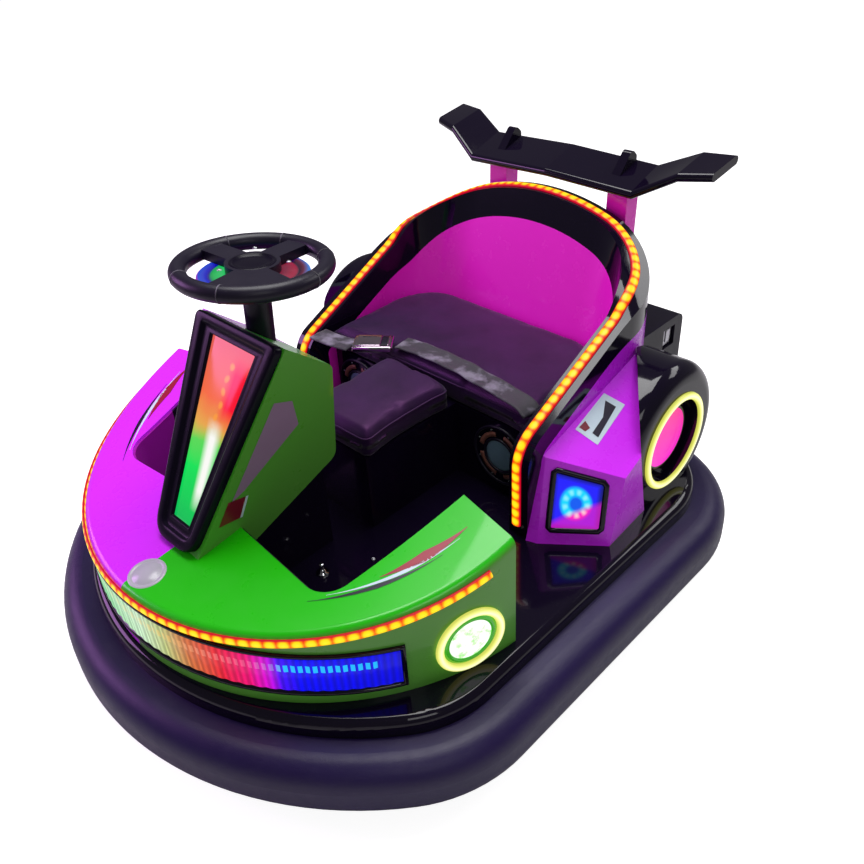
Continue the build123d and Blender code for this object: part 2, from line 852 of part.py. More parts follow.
# Light strip along the hoop's edge
with BuildPart() as hoop_led_strip:
    add(shell_envelope(-strip_proud))
    add(hoop_edge, mode=Mode.SUBTRACT)
    add(shell_block(strip_inset - strip_width / 2), mode=Mode.INTERSECT)
    add(shell_block(strip_inset + strip_width / 2), mode=Mode.SUBTRACT)
    split(bisect_by=Plane.XY.offset(strip_foot_z), keep=Keep.TOP)
write(hoop_led_strip, "hoop_led_strip")

# Seat pedestal: a hollow box under the bench and a narrower one under the saddle
bench_low_z = bench_top_z - bench_thickness
saddle_low_z = saddle_top_z - saddle_thickness
pedestal_front_y = bench_front_y + pedestal_setback
saddle_foot_y = saddle_front_y + pedestal_setback
with BuildPart() as seat_pedestal:
    for inset, mode in ((0, Mode.ADD), (pedestal_wall, Mode.SUBTRACT)):
        with BuildPart(mode=Mode.PRIVATE) as bench_box:
            add(seat_space(-pedestal_gap - inset))
            split(bisect_by=Plane.XZ.offset(-pedestal_front_y - inset), keep=Keep.BOTTOM)
            split(bisect_by=Plane.XY.offset(bench_low_z - inset), keep=Keep.BOTTOM)
        add(bench_box.part, mode=mode)
        with Locations((0, saddle_foot_y + inset, deck_z)):
            Box(
                2 * (saddle_half_width - pedestal_setback - inset),
                pedestal_front_y - saddle_foot_y,
                saddle_low_z - deck_z - inset,
                align=(Align.CENTER, Align.MIN, Align.MIN),
                mode=mode,
            )
    for side in (-1, 1):
        with BuildSketch(Plane.XZ.offset(-pedestal_front_y)):
            with Locations((side * service_disc_x, service_disc_z)):
                Circle(service_disc_r)
        extrude(amount=service_disc_depth)
write(seat_pedestal, "seat_pedestal")

# Cushions
with BuildPart() as bench_cushion:
    add(seat_space(-seat_gap))
    split(bisect_by=Plane.XZ.offset(-bench_front_y), keep=Keep.BOTTOM)
    split(bisect_by=Plane.XY.offset(bench_low_z), keep=Keep.TOP)
    split(bisect_by=Plane.XY.offset(bench_top_z), keep=Keep.BOTTOM)
    fillet(bench_cushion.edges().group_by(Axis.Z)[-1], cushion_round)
write(bench_cushion, "bench_cushion")

with BuildPart() as saddle_cushion:
    with Locations((0, saddle_front_y, saddle_low_z)):
        Box(
            2 * saddle_half_width,
            bench_front_y - seat_gap - saddle_front_y,
            saddle_thickness,
            align=(Align.CENTER, Align.MIN, Align.MIN),
        )
    saddle_edges = saddle_cushion.edges()
    fillet(saddle_edges.group_by(Axis.Z)[-1] + saddle_edges.filter_by(Axis.Z), cushion_round)
write(saddle_cushion, "saddle_cushion")

# Battery under the bench
with BuildPart() as battery_block:
    with Locations((0, pedestal_front_y + pedestal_wall + pedestal_gap, deck_z)):
        Box(battery_length, battery_width, battery_height, align=(Align.CENTER, Align.MIN, Align.MIN))
write(battery_block, "battery_block")


def plane_through(a, b, c):
    """The plane through three points, with its normal by the right-hand rule."""
    origin, first, second = (Vector(*point) for point in (a, b, c))
    return Plane(origin=origin, x_dir=first - origin, z_dir=(first - origin).cross(second - origin))


# Side pods: a block on the deck beside the shell, cut by the planes of its faces
lamp_face = plane_through(pod_lamp_low_inner, pod_lamp_low_outer, pod_lamp_high_inner)
pod_rear_face = plane_through(pod_rear_foot, pod_tip, pod_rear_high)
pod_faces = (
    lamp_face,
    plane_through(pod_inner_foot, pod_lamp_low_inner, pod_lamp_high_inner),
    plane_through(pod_lamp_high_inner, pod_lamp_high_outer, pod_tip),
    plane_through(pod_lamp_low_outer, pod_rear_foot, pod_rear_high),
    pod_rear_face,
)
with BuildPart() as pod_blank:
    with BuildSketch(Plane.XY.offset(deck_z)):
        with BuildLine():
            Polyline(
                pod_inner_foot[:2],
                pod_lamp_low_inner[:2],
                pod_lamp_low_outer[:2],
                pod_rear_foot[:2],
                pod_tip[:2],
                close=True,
            )
        make_face()
    extrude(amount=pod_tip[2])
    for face_plane in pod_faces:
        split(bisect_by=face_plane, keep=Keep.BOTTOM)
write(mirrored(pod_blank), "side_pods")

# Mock rear wheels moulded on the deck, with a lit ring and a dished hub
mock_inner_x = shell_half_width + seat_gap
mock_outer_x = shell_half_width + mock_width
with BuildPart() as mock_blank:
    with BuildSketch(Plane.YZ.offset(mock_inner_x)):
        with Locations((mock_y, mock_z)):
            Circle(mock_r)
    extrude(amount=mock_outer_x - mock_inner_x)
    fillet(mock_blank.faces().sort_by(Axis.X)[-1].edges(), mock_round)
    with BuildSketch(Plane.YZ.offset(mock_outer_x)):
        with Locations((mock_y, mock_z)):
            Circle(mock_halo_r - mock_halo_tube_r)
    extrude(amount=-mock_dish, mode=Mode.SUBTRACT)
    split(bisect_by=pod_rear_face, keep=Keep.TOP)
    split(bisect_by=Plane.XY.offset(deck_z), keep=Keep.TOP)
write(mirrored(mock_blank), "mock_wheels")

with BuildPart() as mock_halo:
    with BuildSketch(Plane.YZ.offset(mock_outer_x)):
        with Locations((mock_y, mock_z)):
            Circle(mock_halo_r + mock_halo_tube_r)
            Circle(mock_halo_r - mock_halo_tube_r, mode=Mode.SUBTRACT)
    extrude(amount=mock_halo_tube_r)
    fillet(mock_halo.faces().sort_by(Axis.X)[-1].edges(), mock_halo_tube_r / 2)
write(mirrored(mock_halo), "mock_wheel_halos")

with BuildPart() as mock_hub:
    with BuildSketch(Plane.YZ.offset(mock_outer_x - mock_dish)):
        with Locations((mock_y, mock_z)):
            Circle(mock_hub_r)
    extrude(amount=mock_hub_thickness)
    fillet(mock_hub.faces().sort_by(Axis.X)[-1].edges(), mock_hub_thickness / 2)
    split(bisect_by=pod_rear_face, keep=Keep.TOP)
write(mirrored(mock_hub), "mock_wheel_hubs")

# Tail box behind the shell, with a latch pocket on each side
with BuildPart() as tail_box:
    with Locations((0, tail_rear_y, tail_low_z)):
        Box(
            2 * tail_half_width,
            tail_rear_y - shell_back_y + shell_corner_r,
            tail_top_z - tail_low_z,
            align=(Align.CENTER, Align.MAX, Align.MIN),
        )
    fillet(tail_box.edges().filter_by(Axis.X).group_by(Axis.Y)[-1].sort_by(Axis.Z)[-1], tail_round)
    for side in (-1, 1):
        with Locations((side * tail_half_width, latch_y, latch_z)):
            Box(2 * latch_depth, latch_length, latch_height, mode=Mode.SUBTRACT)
    add(shell_block(-seat_gap), mode=Mode.SUBTRACT)
write(tail_box, "tail_box")

# Wing: one plate through the stations, bent up and swept back at its ends, with two fins
with BuildPart() as wing:
    stations = [(-x, *edges) for x, *edges in reversed(wing_stations[1:])] + list(wing_stations)
    for x, front_y, front_z, rear_y, rear_z in stations:
        chord = math.hypot(rear_y - front_y, rear_z - front_z)
        pitch = math.degrees(math.atan2(rear_z - front_z, rear_y - front_y))
        with BuildSketch(Plane.YZ.offset(x)):
            with Locations(Location(((front_y + rear_y) / 2, (front_z + rear_z) / 2, 0), (0, 0, pitch))):
                SlotOverall(chord + wing_thickness, wing_thickness)
    loft(ruled=True)
    fin_z = wing_stations[0][4]
    for side in (-1, 1):
        with BuildSketch(Plane.YZ.offset(side * fin_x - fin_thickness / 2)) as fin_view:
            with BuildLine():
                Polyline(
                    (fin_rear_y - fin_length, wing_stations[0][2]),
                    (fin_rear_y - fin_length / 4, fin_z + fin_height),
                    (fin_rear_y, fin_z + fin_height / 2),
                    (fin_rear_y, wing_stations[0][2]),
                    close=True,
                )
            make_face()
            fillet(fin_view.vertices().group_by(Axis.Y)[-2:], fin_round)
        extrude(amount=fin_thickness)
write(wing, "wing")

# Wing posts, from the tail box up to the wing
with BuildPart() as post_blank:
    with BuildSketch(Plane.XY.offset(tail_top_z)):
        with Locations((post_x, post_foot_y)):
            Rectangle(post_width, post_depth)
    with BuildSketch(Plane.XY.offset(post_head_z)):
        with Locations((post_x, post_head_y)):
            Rectangle(post_width, post_depth)
    loft(ruled=True)
    add(wing.part, mode=Mode.SUBTRACT)
write(mirrored(post_blank), "wing_posts")


def fascia_band(depth, angle):
    """A band on the fascia, as thick as depth, from the deck up and out to an angle each side."""
    with BuildPart() as band:
        with BuildSketch(Plane.XY.offset(deck_z)):
            with BuildLine():
                outer = CenterArc((0, cowl_centre_y), cowl_r + seat_gap + depth, -90 - angle, 2 * angle)
                inner = CenterArc((0, cowl_centre_y), cowl_r + seat_gap, -90 - angle, 2 * angle)
                Line(outer @ 0, inner @ 0)
                Line(outer @ 1, inner @ 1)
            make_face()
        extrude(amount=cowl_tail_z)
    return band.part


def light_bar(depth, margin):
    """The light bar's shape, deeper at its ends, moved inwards by margin."""
    end_x = cowl_r * math.sin(math.radians(light_bar_angle))
    inset_angle = math.degrees(margin / cowl_r)
    with BuildPart() as bar:
        add(fascia_band(depth, light_bar_angle - inset_angle))
        with BuildSketch(Plane.XZ):
            with BuildLine():
                lower = ThreePointArc(
                    (-end_x, light_bar_end_low_z + margin),
                    (0, light_bar_middle_low_z + margin),
                    (end_x, light_bar_end_low_z + margin),
                )
                upper = ThreePointArc(
                    (-end_x, light_bar_end_high_z - margin),
                    (0, light_bar_middle_high_z - margin),
                    (end_x, light_bar_end_high_z - margin),
                )
                Line(lower @ 0, upper @ 0)
                Line(lower @ 1, upper @ 1)
            make_face()
        extrude(amount=2 * cowl_r, both=True, mode=Mode.INTERSECT)
    return bar.part


# Light bar across the nose: bezel round a lens
with BuildPart() as light_bar_bezel:
    add(light_bar(light_bar_depth, 0))
    add(light_bar(2 * light_bar_depth, light_bar_margin), mode=Mode.SUBTRACT)
write(light_bar_bezel, "light_bar_bezel")

with BuildPart() as light_bar_lens:
    add(light_bar(light_bar_lens_depth, light_bar_margin + seat_gap))
write(light_bar_lens, "light_bar_lens")

# Light strip round the top of the fascia
strip_angle = math.degrees(math.acos((cowl_centre_y - strip_tail_y) / cowl_r))
with BuildPart() as cowl_led_strip:
    add(fascia_band(strip_proud, strip_angle))
    with BuildSketch(Plane.YZ):
        with BuildLine():
            edges = [
                ThreePointArc(
                    (cowl_nose_y - cowl_overrun, strip_nose_z + side * cowl_strip_width / 2),
                    (cowl_middle_y, strip_middle_z + side * cowl_strip_width / 2),
                    (strip_tail_y + cowl_overrun, strip_tail_z + side * cowl_strip_width / 2),
                )
                for side in (-1, 1)
            ]
            Line(edges[0] @ 0, edges[1] @ 0)
            Line(edges[0] @ 1, edges[1] @ 1)
        make_face()
    extrude(amount=2 * cowl_r, both=True, mode=Mode.INTERSECT)
write(cowl_led_strip, "cowl_led_strip")

# Headlamps on the fascia, beside the light bar
lamp_turn = math.radians(headlamp_angle)
lamp_plane = Plane(
    origin=on_fascia(headlamp_angle, headlamp_z, seat_gap),
    x_dir=(math.cos(lamp_turn), math.sin(lamp_turn), 0),
    z_dir=(math.sin(lamp_turn), -math.cos(lamp_turn), 0),
)
with BuildPart() as halo_blank:
    with BuildSketch(lamp_plane):
        Circle(headlamp_halo_r + headlamp_halo_tube_r)
        Circle(headlamp_halo_r - headlamp_halo_tube_r, mode=Mode.SUBTRACT)
    extrude(amount=headlamp_halo_tube_r)
write(mirrored(halo_blank), "headlamp_halos")

with BuildPart() as lens_blank:
    with BuildSketch(lamp_plane):
        Circle(headlamp_lens_r)
    extrude(amount=headlamp_lens_depth)
write(mirrored(lens_blank), "headlamp_lenses")


def lamp_outline(margin):
    """The square lamp's outline on the pod's lamp face, moved inwards by margin."""
    lift = Vector(0, pod_lamp_lift, 0)
    corners = (pod_lamp_low_inner, pod_lamp_low_outer, pod_lamp_high_outer, pod_lamp_high_inner)
    flat = [lamp_face.to_local_coords(Vector(*corner)) for corner in corners]
    raised = [flat[0] + lift, flat[1] + lift, flat[2], flat[3]]
    with BuildSketch() as outline:
        with BuildLine():
            Polyline(*[(point.X, point.Y) for point in raised], close=True)
        make_face()
        offset(amount=-margin, kind=Kind.INTERSECTION)
    return outline.sketch


# Square lamps on the pods' front faces
lens_margin = pod_lamp_margin + pod_bezel_width
with BuildPart() as bezel_blank:
    with BuildSketch(lamp_face.offset(seat_gap)):
        add(lamp_outline(pod_lamp_margin))
        add(lamp_outline(lens_margin), mode=Mode.SUBTRACT)
    extrude(amount=pod_bezel_proud)
write(mirrored(bezel_blank), "pod_lamp_bezels")

with BuildPart() as pod_lens_blank:
    with BuildSketch(lamp_face.offset(seat_gap)):
        add(lamp_outline(lens_margin + seat_gap))
    extrude(amount=pod_lens_proud)
write(mirrored(pod_lens_blank), "pod_lamp_lenses")

# Foot switch on the deck
with BuildPart() as foot_switch:
    with Locations((foot_switch_x, foot_switch_y, deck_z)):
        Cylinder(foot_switch_r, foot_switch_height, align=(Align.CENTER, Align.CENTER, Align.MIN))
write(foot_switch, "foot_switch")

# Lap belt: webbing laid across the bench, and its buckle
belt_z = bench_top_z + seat_gap
with BuildPart() as buckle_blank:
    with BuildSketch(Plane.XY.offset(belt_z)):
        with Locations(Location((*buckle_centre, 0), (0, 0, buckle_turn))):
            RectangleRounded(buckle_length, buckle_width, buckle_round)
    extrude(amount=buckle_thickness)
write(buckle_blank, "belt_buckle")

with BuildPart() as belt_straps:
    for path in (belt_left_path, belt_right_path):
        with BuildSketch(Plane.XY.offset(belt_z)):
            with BuildLine() as route:
                Polyline(*path)
            trace(line_width=belt_width)
        extrude(amount=belt_thickness)
    add(buckle_blank.part, mode=Mode.SUBTRACT)
write(belt_straps, "belt_straps")
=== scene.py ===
import json
from math import acos, atan2, cos, degrees, hypot, pi, radians, sin, sqrt

import bmesh
import bpy
from mathutils import Matrix, Vector
from mathutils.bvhtree import BVHTree


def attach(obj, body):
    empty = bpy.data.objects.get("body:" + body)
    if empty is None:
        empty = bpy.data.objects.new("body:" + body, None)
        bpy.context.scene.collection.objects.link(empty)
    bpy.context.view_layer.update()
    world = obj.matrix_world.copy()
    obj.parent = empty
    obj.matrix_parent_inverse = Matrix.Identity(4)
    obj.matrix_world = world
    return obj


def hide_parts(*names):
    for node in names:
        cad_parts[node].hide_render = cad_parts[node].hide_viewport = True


# Drift kart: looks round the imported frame. Metres, front is -Y, the driver's left is +X.
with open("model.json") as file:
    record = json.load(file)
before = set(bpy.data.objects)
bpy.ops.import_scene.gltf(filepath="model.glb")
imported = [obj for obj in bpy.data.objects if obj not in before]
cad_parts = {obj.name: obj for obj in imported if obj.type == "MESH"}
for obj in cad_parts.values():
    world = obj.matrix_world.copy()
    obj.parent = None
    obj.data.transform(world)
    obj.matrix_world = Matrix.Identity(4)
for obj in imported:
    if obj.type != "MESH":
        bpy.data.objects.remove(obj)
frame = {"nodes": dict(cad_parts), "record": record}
nodes = frame["nodes"]
scene = bpy.context.scene
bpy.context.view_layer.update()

up = Vector((0, 0, 1))
down = -up
sideways = Vector((1, 0, 0))
lengthwise = Vector((0, 1, 0))

# Places repeated from the source, in millimetres from its drawing datum
datum_y = -24
deck_z = 187
cowl_r = 478
cowl_centre_y = -78
wheel_centre = (0, -198, 756)
wheel_tilt = 4
shell_half_width = 333
strip_inset = 26
strip_half_width = 10
cowl_strip_half_width = 8
strip_proud = 6
strip_foot_turn = 44
hoop_turn_r = 150
hoop_back_y = 542
strip_pitch = 0.021


def at(x, y, z):
    """A point given in millimetres from the drawing datum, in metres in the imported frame."""
    return Vector((x, y + datum_y, z)) / 1000


# ---- materials

materials = {}


def operator(operation):
    """A method of Value that makes a math node."""
    return lambda *values: values[0].owner.math(operation, *values)


class Value:
    """A number or colour in a node tree, with plain arithmetic."""

    def __init__(self, owner, socket):
        self.owner = owner
        self.socket = socket

    __add__ = operator("ADD")
    __sub__ = operator("SUBTRACT")
    __mul__ = operator("MULTIPLY")
    __abs__ = operator("ABSOLUTE")
    __gt__ = operator("GREATER_THAN")
    __lt__ = operator("LESS_THAN")


class Nodes:
    """A node tree, built by short calls. Inputs take a Value, a number or a colour."""

    def __init__(self, tree):
        self.tree = tree

    def put(self, socket, value):
        if isinstance(value, Value):
            self.tree.links.new(value.socket, socket)
        elif socket.type == "RGBA":
            socket.default_value = (*value, 1)
        else:
            socket.default_value = value

    def node(self, kind, inputs, output=0, **options):
        """A new node's output. inputs maps a socket's name or place to what goes in."""
        new = self.tree.nodes.new(kind)
        for key, value in options.items():
            setattr(new, key, value)
        for key, value in inputs.items():
            self.put(new.inputs[key], value)
        return Value(self, new.outputs[output])

    def math(self, operation, *values):
        return self.node("ShaderNodeMath", dict(enumerate(values)), operation=operation)

    def ray(self, kind):
        return self.node("ShaderNodeLightPath", {}, f"Is {kind} Ray")

    def coords(self, kind="Object"):
        return self.node("ShaderNodeTexCoord", {}, kind)

    def parts(self, vector):
        whole = self.node("ShaderNodeSeparateXYZ", {0: vector})
        return [Value(self, socket) for socket in whole.socket.node.outputs]

    def stretched(self, scale):
        return self.node("ShaderNodeMapping", {"Vector": self.coords(), "Scale": scale})

    def noise(self, scale, detail=4.0, vector=None, rough=0.6):
        inputs = {"Vector": vector or self.coords(), "Scale": scale, "Detail": detail, "Roughness": rough}
        return self.node("ShaderNodeTexNoise", inputs, "Fac")

    def cells(self, scale, feature="F1"):
        inputs = {"Vector": self.coords(), "Scale": scale}
        return self.node("ShaderNodeTexVoronoi", inputs, "Distance", feature=feature)

    def ramp(self, factor, *stops):
        """Colour from a factor. Each stop is a place and a grey level or a screen colour."""
        found = self.node("ShaderNodeValToRGB", {0: factor})
        row = found.socket.node.color_ramp.elements
        while len(row) < len(stops):
            row.new(0.5)
        for element, (place, *colour) in zip(row, stops):
            element.position = place
            element.color = (*rgb(*colour), 1) if len(colour) == 3 else (*colour * 3, 1)
        return found

    def mix(self, factor, first, second, kind="MIX"):
        inputs = {0: factor, 6: first, 7: second}
        return self.node("ShaderNodeMix", inputs, 2, data_type="RGBA", blend_type=kind)


class Shade(Nodes):
    """A material with one principled surface, kept in materials under its name."""

    def __init__(self, name):
        self.material = bpy.data.materials.new(name)
        self.material.use_nodes = True
        super().__init__(self.material.node_tree)
        self.body = self.tree.nodes["Principled BSDF"]
        materials[name] = self

    def set(self, **values):
        for key, value in values.items():
            self.put(self.body.inputs[key.replace("_", " ")], value)
        return self

    def bump(self, height, strength, distance=0.001):
        inputs = {"Height": height, "Strength": strength, "Distance": distance}
        return self.set(Normal=self.node("ShaderNodeBump", inputs))

    def glow(self, colour, strength=1.0):
        return self.set(Emission_Color=colour, Emission_Strength=strength)


def rgb(red, green, blue):
    """A screen colour of 0 to 255 as linear light."""
    shares = (red / 255, green / 255, blue / 255)
    return tuple(c / 12.92 if c <= 0.04045 else ((c + 0.055) / 1.055) ** 2.4 for c in shares)


def times(colour, factor):
    return tuple(c * factor for c in colour)


def painted(name, colour, roughness, coat=0.0, grain=900, grain_depth=0.05, dirt=0.15, specular=0.5):
    """A moulded or painted surface: slight waviness, fine grain and uneven gloss."""
    m = Shade(name)
    worn = tuple(c * (1 - dirt) + 0.02 * dirt for c in colour)
    speck = m.ramp(m.noise(420, 2, rough=0.4), (0.74, 0), (0.8, 1))
    base = m.mix(m.noise(7, 5) * (dirt * 3), colour, worn)
    m.set(Base_Color=m.mix(speck * 0.06, base, (0.5, 0.48, 0.5)), Specular_IOR_Level=specular)
    m.set(Roughness=m.noise(26, 6) * (roughness * 0.6) + roughness * 0.7, Coat_Weight=coat, Coat_Roughness=0.04)
    return m.bump(m.noise(grain, 2) * 0.15 + m.noise(30, 1), grain_depth)


def metal(name, colour, roughness, stretch=(1, 1, 1), scale=220, depth=0.05):
    m = Shade(name)
    lines = m.noise(scale, 4, m.stretched(stretch))
    m.set(Base_Color=m.mix(m.ramp(lines, (0.3, 0), (0.7, 1)), times(colour, 0.8), colour), Metallic=1.0)
    m.set(Roughness=lines * roughness + roughness * 0.5)
    return m.bump(lines, depth, 0.0004)


def with_upright_shade(m, colour):
    """Painted shade: upright faces take a duller colour than the tops, as light from above falls on them less.
    """
    upright = m.ramp(abs(m.parts(m.coords("Normal"))[2]), (0.35, 1.0), (0.8, 0.0))
    base = Value(m, m.body.inputs["Base Color"].links[0].from_socket)
    return m.set(Base_Color=m.mix(upright * 0.8, base, colour))


def rubber(name, colour, roughness, scuffs):
    """Moulded rubber: fine pitting, dull patches and rubbed streaks."""
    m = Shade(name)
    streaks = m.ramp(m.noise(9, 8, m.stretched((1, 1, 5)), 0.7), (0.55, 0), (0.75, 1))
    base = m.mix(m.noise(5, 4), times(colour, 0.8), times(colour, 1.25))
    m.set(Base_Color=m.mix(streaks * scuffs, base, rgb(96, 90, 104)), Specular_IOR_Level=0.4)
    m.set(Roughness=m.noise(60, 6) * 0.25 + (roughness - 0.12))
    return m.bump(m.cells(900) * 0.6 + m.noise(240, 5), 0.28)


painted("black_gloss", rgb(12, 5, 24), 0.1, 0.18, 500, 0.06, 0.12, 0.24)
# The green's upright faces get a duller olive: painted shade.
with_upright_shade(painted("green_gelcoat", rgb(28, 182, 3), 0.3, 0.3, 700, 0.05, 0.04, 0.3), rgb(96, 150, 62))
painted("magenta_gelcoat", rgb(208, 38, 242), 0.28, 0.3, 700, 0.05, 0.04, 0.3)
painted("lining", rgb(244, 34, 206), 0.26, 0.35, 700, 0.05, 0.04, 0.3)
painted("border_black", rgb(10, 4, 22), 0.3, 0, 900, 0.05, 0.1, 0.12)
painted("black_satin", rgb(18, 10, 32), 0.38, 0, 1500, 0.15, 0.2, 0.3)
painted("frame_steel", rgb(52, 52, 56), 0.45, 0, 1300, 0.25, 0.4)
painted("battery_case", rgb(60, 60, 66), 0.5, 0, 1600, 0.3, 0.3)
metal("zinc_steel", rgb(188, 190, 194), 0.35)
metal("motor_alloy", rgb(170, 172, 176), 0.45, scale=400, depth=0.2)
metal("buckle_metal", rgb(206, 186, 204), 0.16, (1, 8, 1))
metal("switch_chrome", rgb(220, 220, 226), 0.1)
metal("pad_silver", rgb(200, 198, 206), 0.3, (1, 12, 1))
# The ring's violet base colour is a painted sheen of blue and magenta light on near-black rubber.
rubber("ring_rubber", rgb(26, 9, 62), 0.4, 0.1)
rubber("tyre_rubber", rgb(30, 30, 32), 0.75, 0.3)
rubber("caster_wheel", rgb(44, 44, 48), 0.6, 0.2)

# The vinyl's purple base colour and purple specular tint are a painted sheen of magenta light on black vinyl;
# the uneven tone is random.
m = Shade("vinyl")
creases = m.math("POWER", m.cells(420, "DISTANCE_TO_EDGE"), 0.4)
soft = m.noise(12, 6)
m.set(Base_Color=m.ramp(soft, (0.3, 20, 6, 38), (0.7, 40, 14, 56)), Specular_Tint=(0.62, 0.2, 0.62))
m.set(Roughness=m.noise(40, 5) * 0.2 + 0.3, Sheen_Weight=0.08)
m.bump(soft * 0.8 + creases, 0.3)

m = Shade("webbing")
flow = m.parts(m.coords("UV"))
rows = m.math("SINE", flow[0] * (2 * pi / 0.0022))
ribs = m.math("SINE", flow[1] * (2 * pi / 0.0034))
weave = rows * ribs * 0.5 + 0.5
# Pale patches on the belt are a painted sheen.
pale_sheen = m.ramp(m.noise(22, 6), (0.48, 0), (0.62, 1)) * 0.7
m.set(Base_Color=m.mix(pale_sheen, m.mix(weave, rgb(12, 6, 22), rgb(30, 20, 40)), rgb(128, 120, 140)))
m.set(Roughness=0.62, Sheen_Weight=0.2)
m.bump(weave + (abs(flow[1]) > 0.0195), 0.6, 0.0006)


def dress(node, material):
    """Shows a CAD node in a material."""
    for holder in nodes[node].material_slots:
        holder.link = "OBJECT"
        holder.material = materials[material].material


own_looks = {"back_panel": "lining", "wing_posts": "lining", "wing": "black_gloss"}
for row in frame["record"]["subparts"]:
    if row["material_slot"] in materials and row["node"] in nodes:
        dress(row["node"], own_looks.get(row["node"], row["material_slot"]))


# ---- mesh helpers

def placed(name, data):
    """An object in the scene."""
    made = bpy.data.objects.new(name, data)
    scene.collection.objects.link(made)
    return made


def piece(name, mesh, material, body="kart_body"):
    """A new object that rides on a body, made from a bmesh."""
    data = bpy.data.meshes.new(name)
    mesh.normal_update()
    mesh.to_mesh(data)
    mesh.free()
    for polygon in data.polygons:
        polygon.use_smooth = True
    made = placed(name, data)
    data.materials.append(materials[material].material)
    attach(made, body)
    return made


def faced(mesh):
    """The bmesh with its faces turned outwards."""
    bmesh.ops.recalc_face_normals(mesh, faces=mesh.faces)
    return mesh


def frames_along(path, normals, closed):
    """The way out and the way aside at each point of a path."""
    rows = []
    count = len(path)
    for i in range(count):
        after = path[(i + 1) % count] if closed or i + 1 < count else path[i]
        before = path[i - 1] if closed or i else path[i]
        tangent = (after - before).normalized()
        side = tangent.cross(normals[i]).normalized()
        rows.append((side.cross(tangent).normalized(), side))
    return rows


def sweep(path, normals, section, closed=False):
    """A tube along a path. section is points of (side, out); its UV is length along and place round."""
    mesh = bmesh.new()
    uv = mesh.loops.layers.uv.new("flow")
    travel = [0.0]
    for first, second in zip(path, path[1:] + path[:1]):
        travel.append(travel[-1] + (second - first).length)
    rows = []
    for point, (out, side) in zip(path, frames_along(path, normals, closed)):
        rows.append([mesh.verts.new(point + side * s + out * o) for s, o in section])
    size = len(section)
    for i in range(len(rows) if closed else len(rows) - 1):
        after = rows[(i + 1) % len(rows)]
        for j in range(size):
            k = (j + 1) % size
            face = mesh.faces.new((rows[i][j], rows[i][k], after[k], after[j]))
            for loop, (a, b) in zip(face.loops, ((i, j), (i, k), (i + 1, k), (i + 1, j))):
                loop[uv].uv = (travel[a], section[b][0])
    if not closed:
        mesh.faces.new(rows[0][::-1])
        mesh.faces.new(rows[-1])
    return faced(mesh)


def shares(count):
    """Even steps from 0 to 1."""
    return [k / count for k in range(count + 1)]


def sheet(across, along, place):
    """A sheet of faces. place gives the point at each pair of marks, which are its UV."""
    mesh = bmesh.new()
    uv = mesh.loops.layers.uv.new("flow")
    rows = [[(mesh.verts.new(place(u, v)), (u, v)) for u in across] for v in along]
    for lower, upper in zip(rows, rows[1:]):
        for i in range(len(lower) - 1):
            corners = (lower[i], lower[i + 1], upper[i + 1], upper[i])
            face = mesh.faces.new([vertex for vertex, _ in corners])
            for loop, (_, mark) in zip(face.loops, corners):
                loop[uv].uv = mark
    return mesh


def even_steps(path, step):
    """The path again, at about even steps."""
    lengths = [0.0]
    for first, second in zip(path, path[1:]):
        lengths.append(lengths[-1] + (second - first).length)
    count = max(2, round(lengths[-1] / step))
    found = []
    j = 0
    for i in range(count + 1):
        goal = lengths[-1] * i / count
        while j < len(path) - 2 and lengths[j + 1] < goal:
            j += 1
        span = lengths[j + 1] - lengths[j] or 1
        found.append(path[j].lerp(path[j + 1], (goal - lengths[j]) / span))
    return found


def relaxed(points, rounds):
    """Points evened out with their neighbours, ends kept."""
    for _ in range(rounds):
        inner = [(a + 2 * b + c) / 4 for a, b, c in zip(points, points[1:], points[2:])]
        points = [points[0]] + inner + [points[-1]]
    return points


def dome_section(half_width, height, steps=10):
    """Half a rounded section: flat at the back, domed in front."""
    return [(half_width * cos(pi * t), height * sin(pi * t) ** 0.7) for t in shares(steps)]


def circle_section(radius, steps=8):
    return [(radius * cos(2 * pi * t), radius * sin(2 * pi * t)) for t in shares(steps)[:-1]]


def spokes_round(axis, steps):
    """Unit vectors round an axis."""
    first = axis.orthogonal().normalized()
    return [first * x + axis.cross(first) * y for x, y in circle_section(1, steps)]


def ring_tube(centre, axis, radius, section, steps=96):
    """A closed ring whose section is points of (outwards along the radius, along the axis)."""
    path = [centre + spoke * radius for spoke in spokes_round(axis, steps)]
    return sweep(path, [axis] * steps, section, closed=True)


def lathe(centre, axis, profile, steps=64):
    """A turned shape. profile is points of (radius, along the axis); a radius of 0 closes it."""
    spokes = spokes_round(axis, steps)
    mesh = bmesh.new()
    rows = []
    for radius, along in profile:
        reach = [spoke * radius for spoke in spokes] if radius else [Vector()]
        rows.append([mesh.verts.new(centre + axis * along + out) for out in reach])
    for low, high in zip(rows, rows[1:]):
        for k in range(steps):
            a, b = low[k % len(low)], low[(k + 1) % len(low)]
            c, d = high[(k + 1) % len(high)], high[k % len(high)]
            mesh.faces.new(list(dict.fromkeys((a, b, c, d))))
    return faced(mesh)


def joined(*meshes):
    """Several bmeshes as one."""
    whole = bmesh.new()
    for part in meshes:
        held = bpy.data.meshes.new("held")
        part.to_mesh(held)
        part.free()
        whole.from_mesh(held)
        bpy.data.meshes.remove(held)
    return whole


def with_twin(mesh):
    """The mesh and its mirror image across the kart's middle."""
    twin = mesh.copy()
    bmesh.ops.scale(twin, vec=(-1, 1, 1), verts=twin.verts)
    bmesh.ops.reverse_faces(twin, faces=twin.faces)
    return joined(mesh, twin)


def between_loops(loops):
    """A closed band of faces through loops of points."""
    mesh = bmesh.new()
    rows = [[mesh.verts.new(p) for p in loop] for loop in loops]
    for first, second in zip(rows, rows[1:]):
        for k in range(len(first)):
            after = (k + 1) % len(first)
            mesh.faces.new((first[k], first[after], second[after], second[k]))
    return faced(mesh)


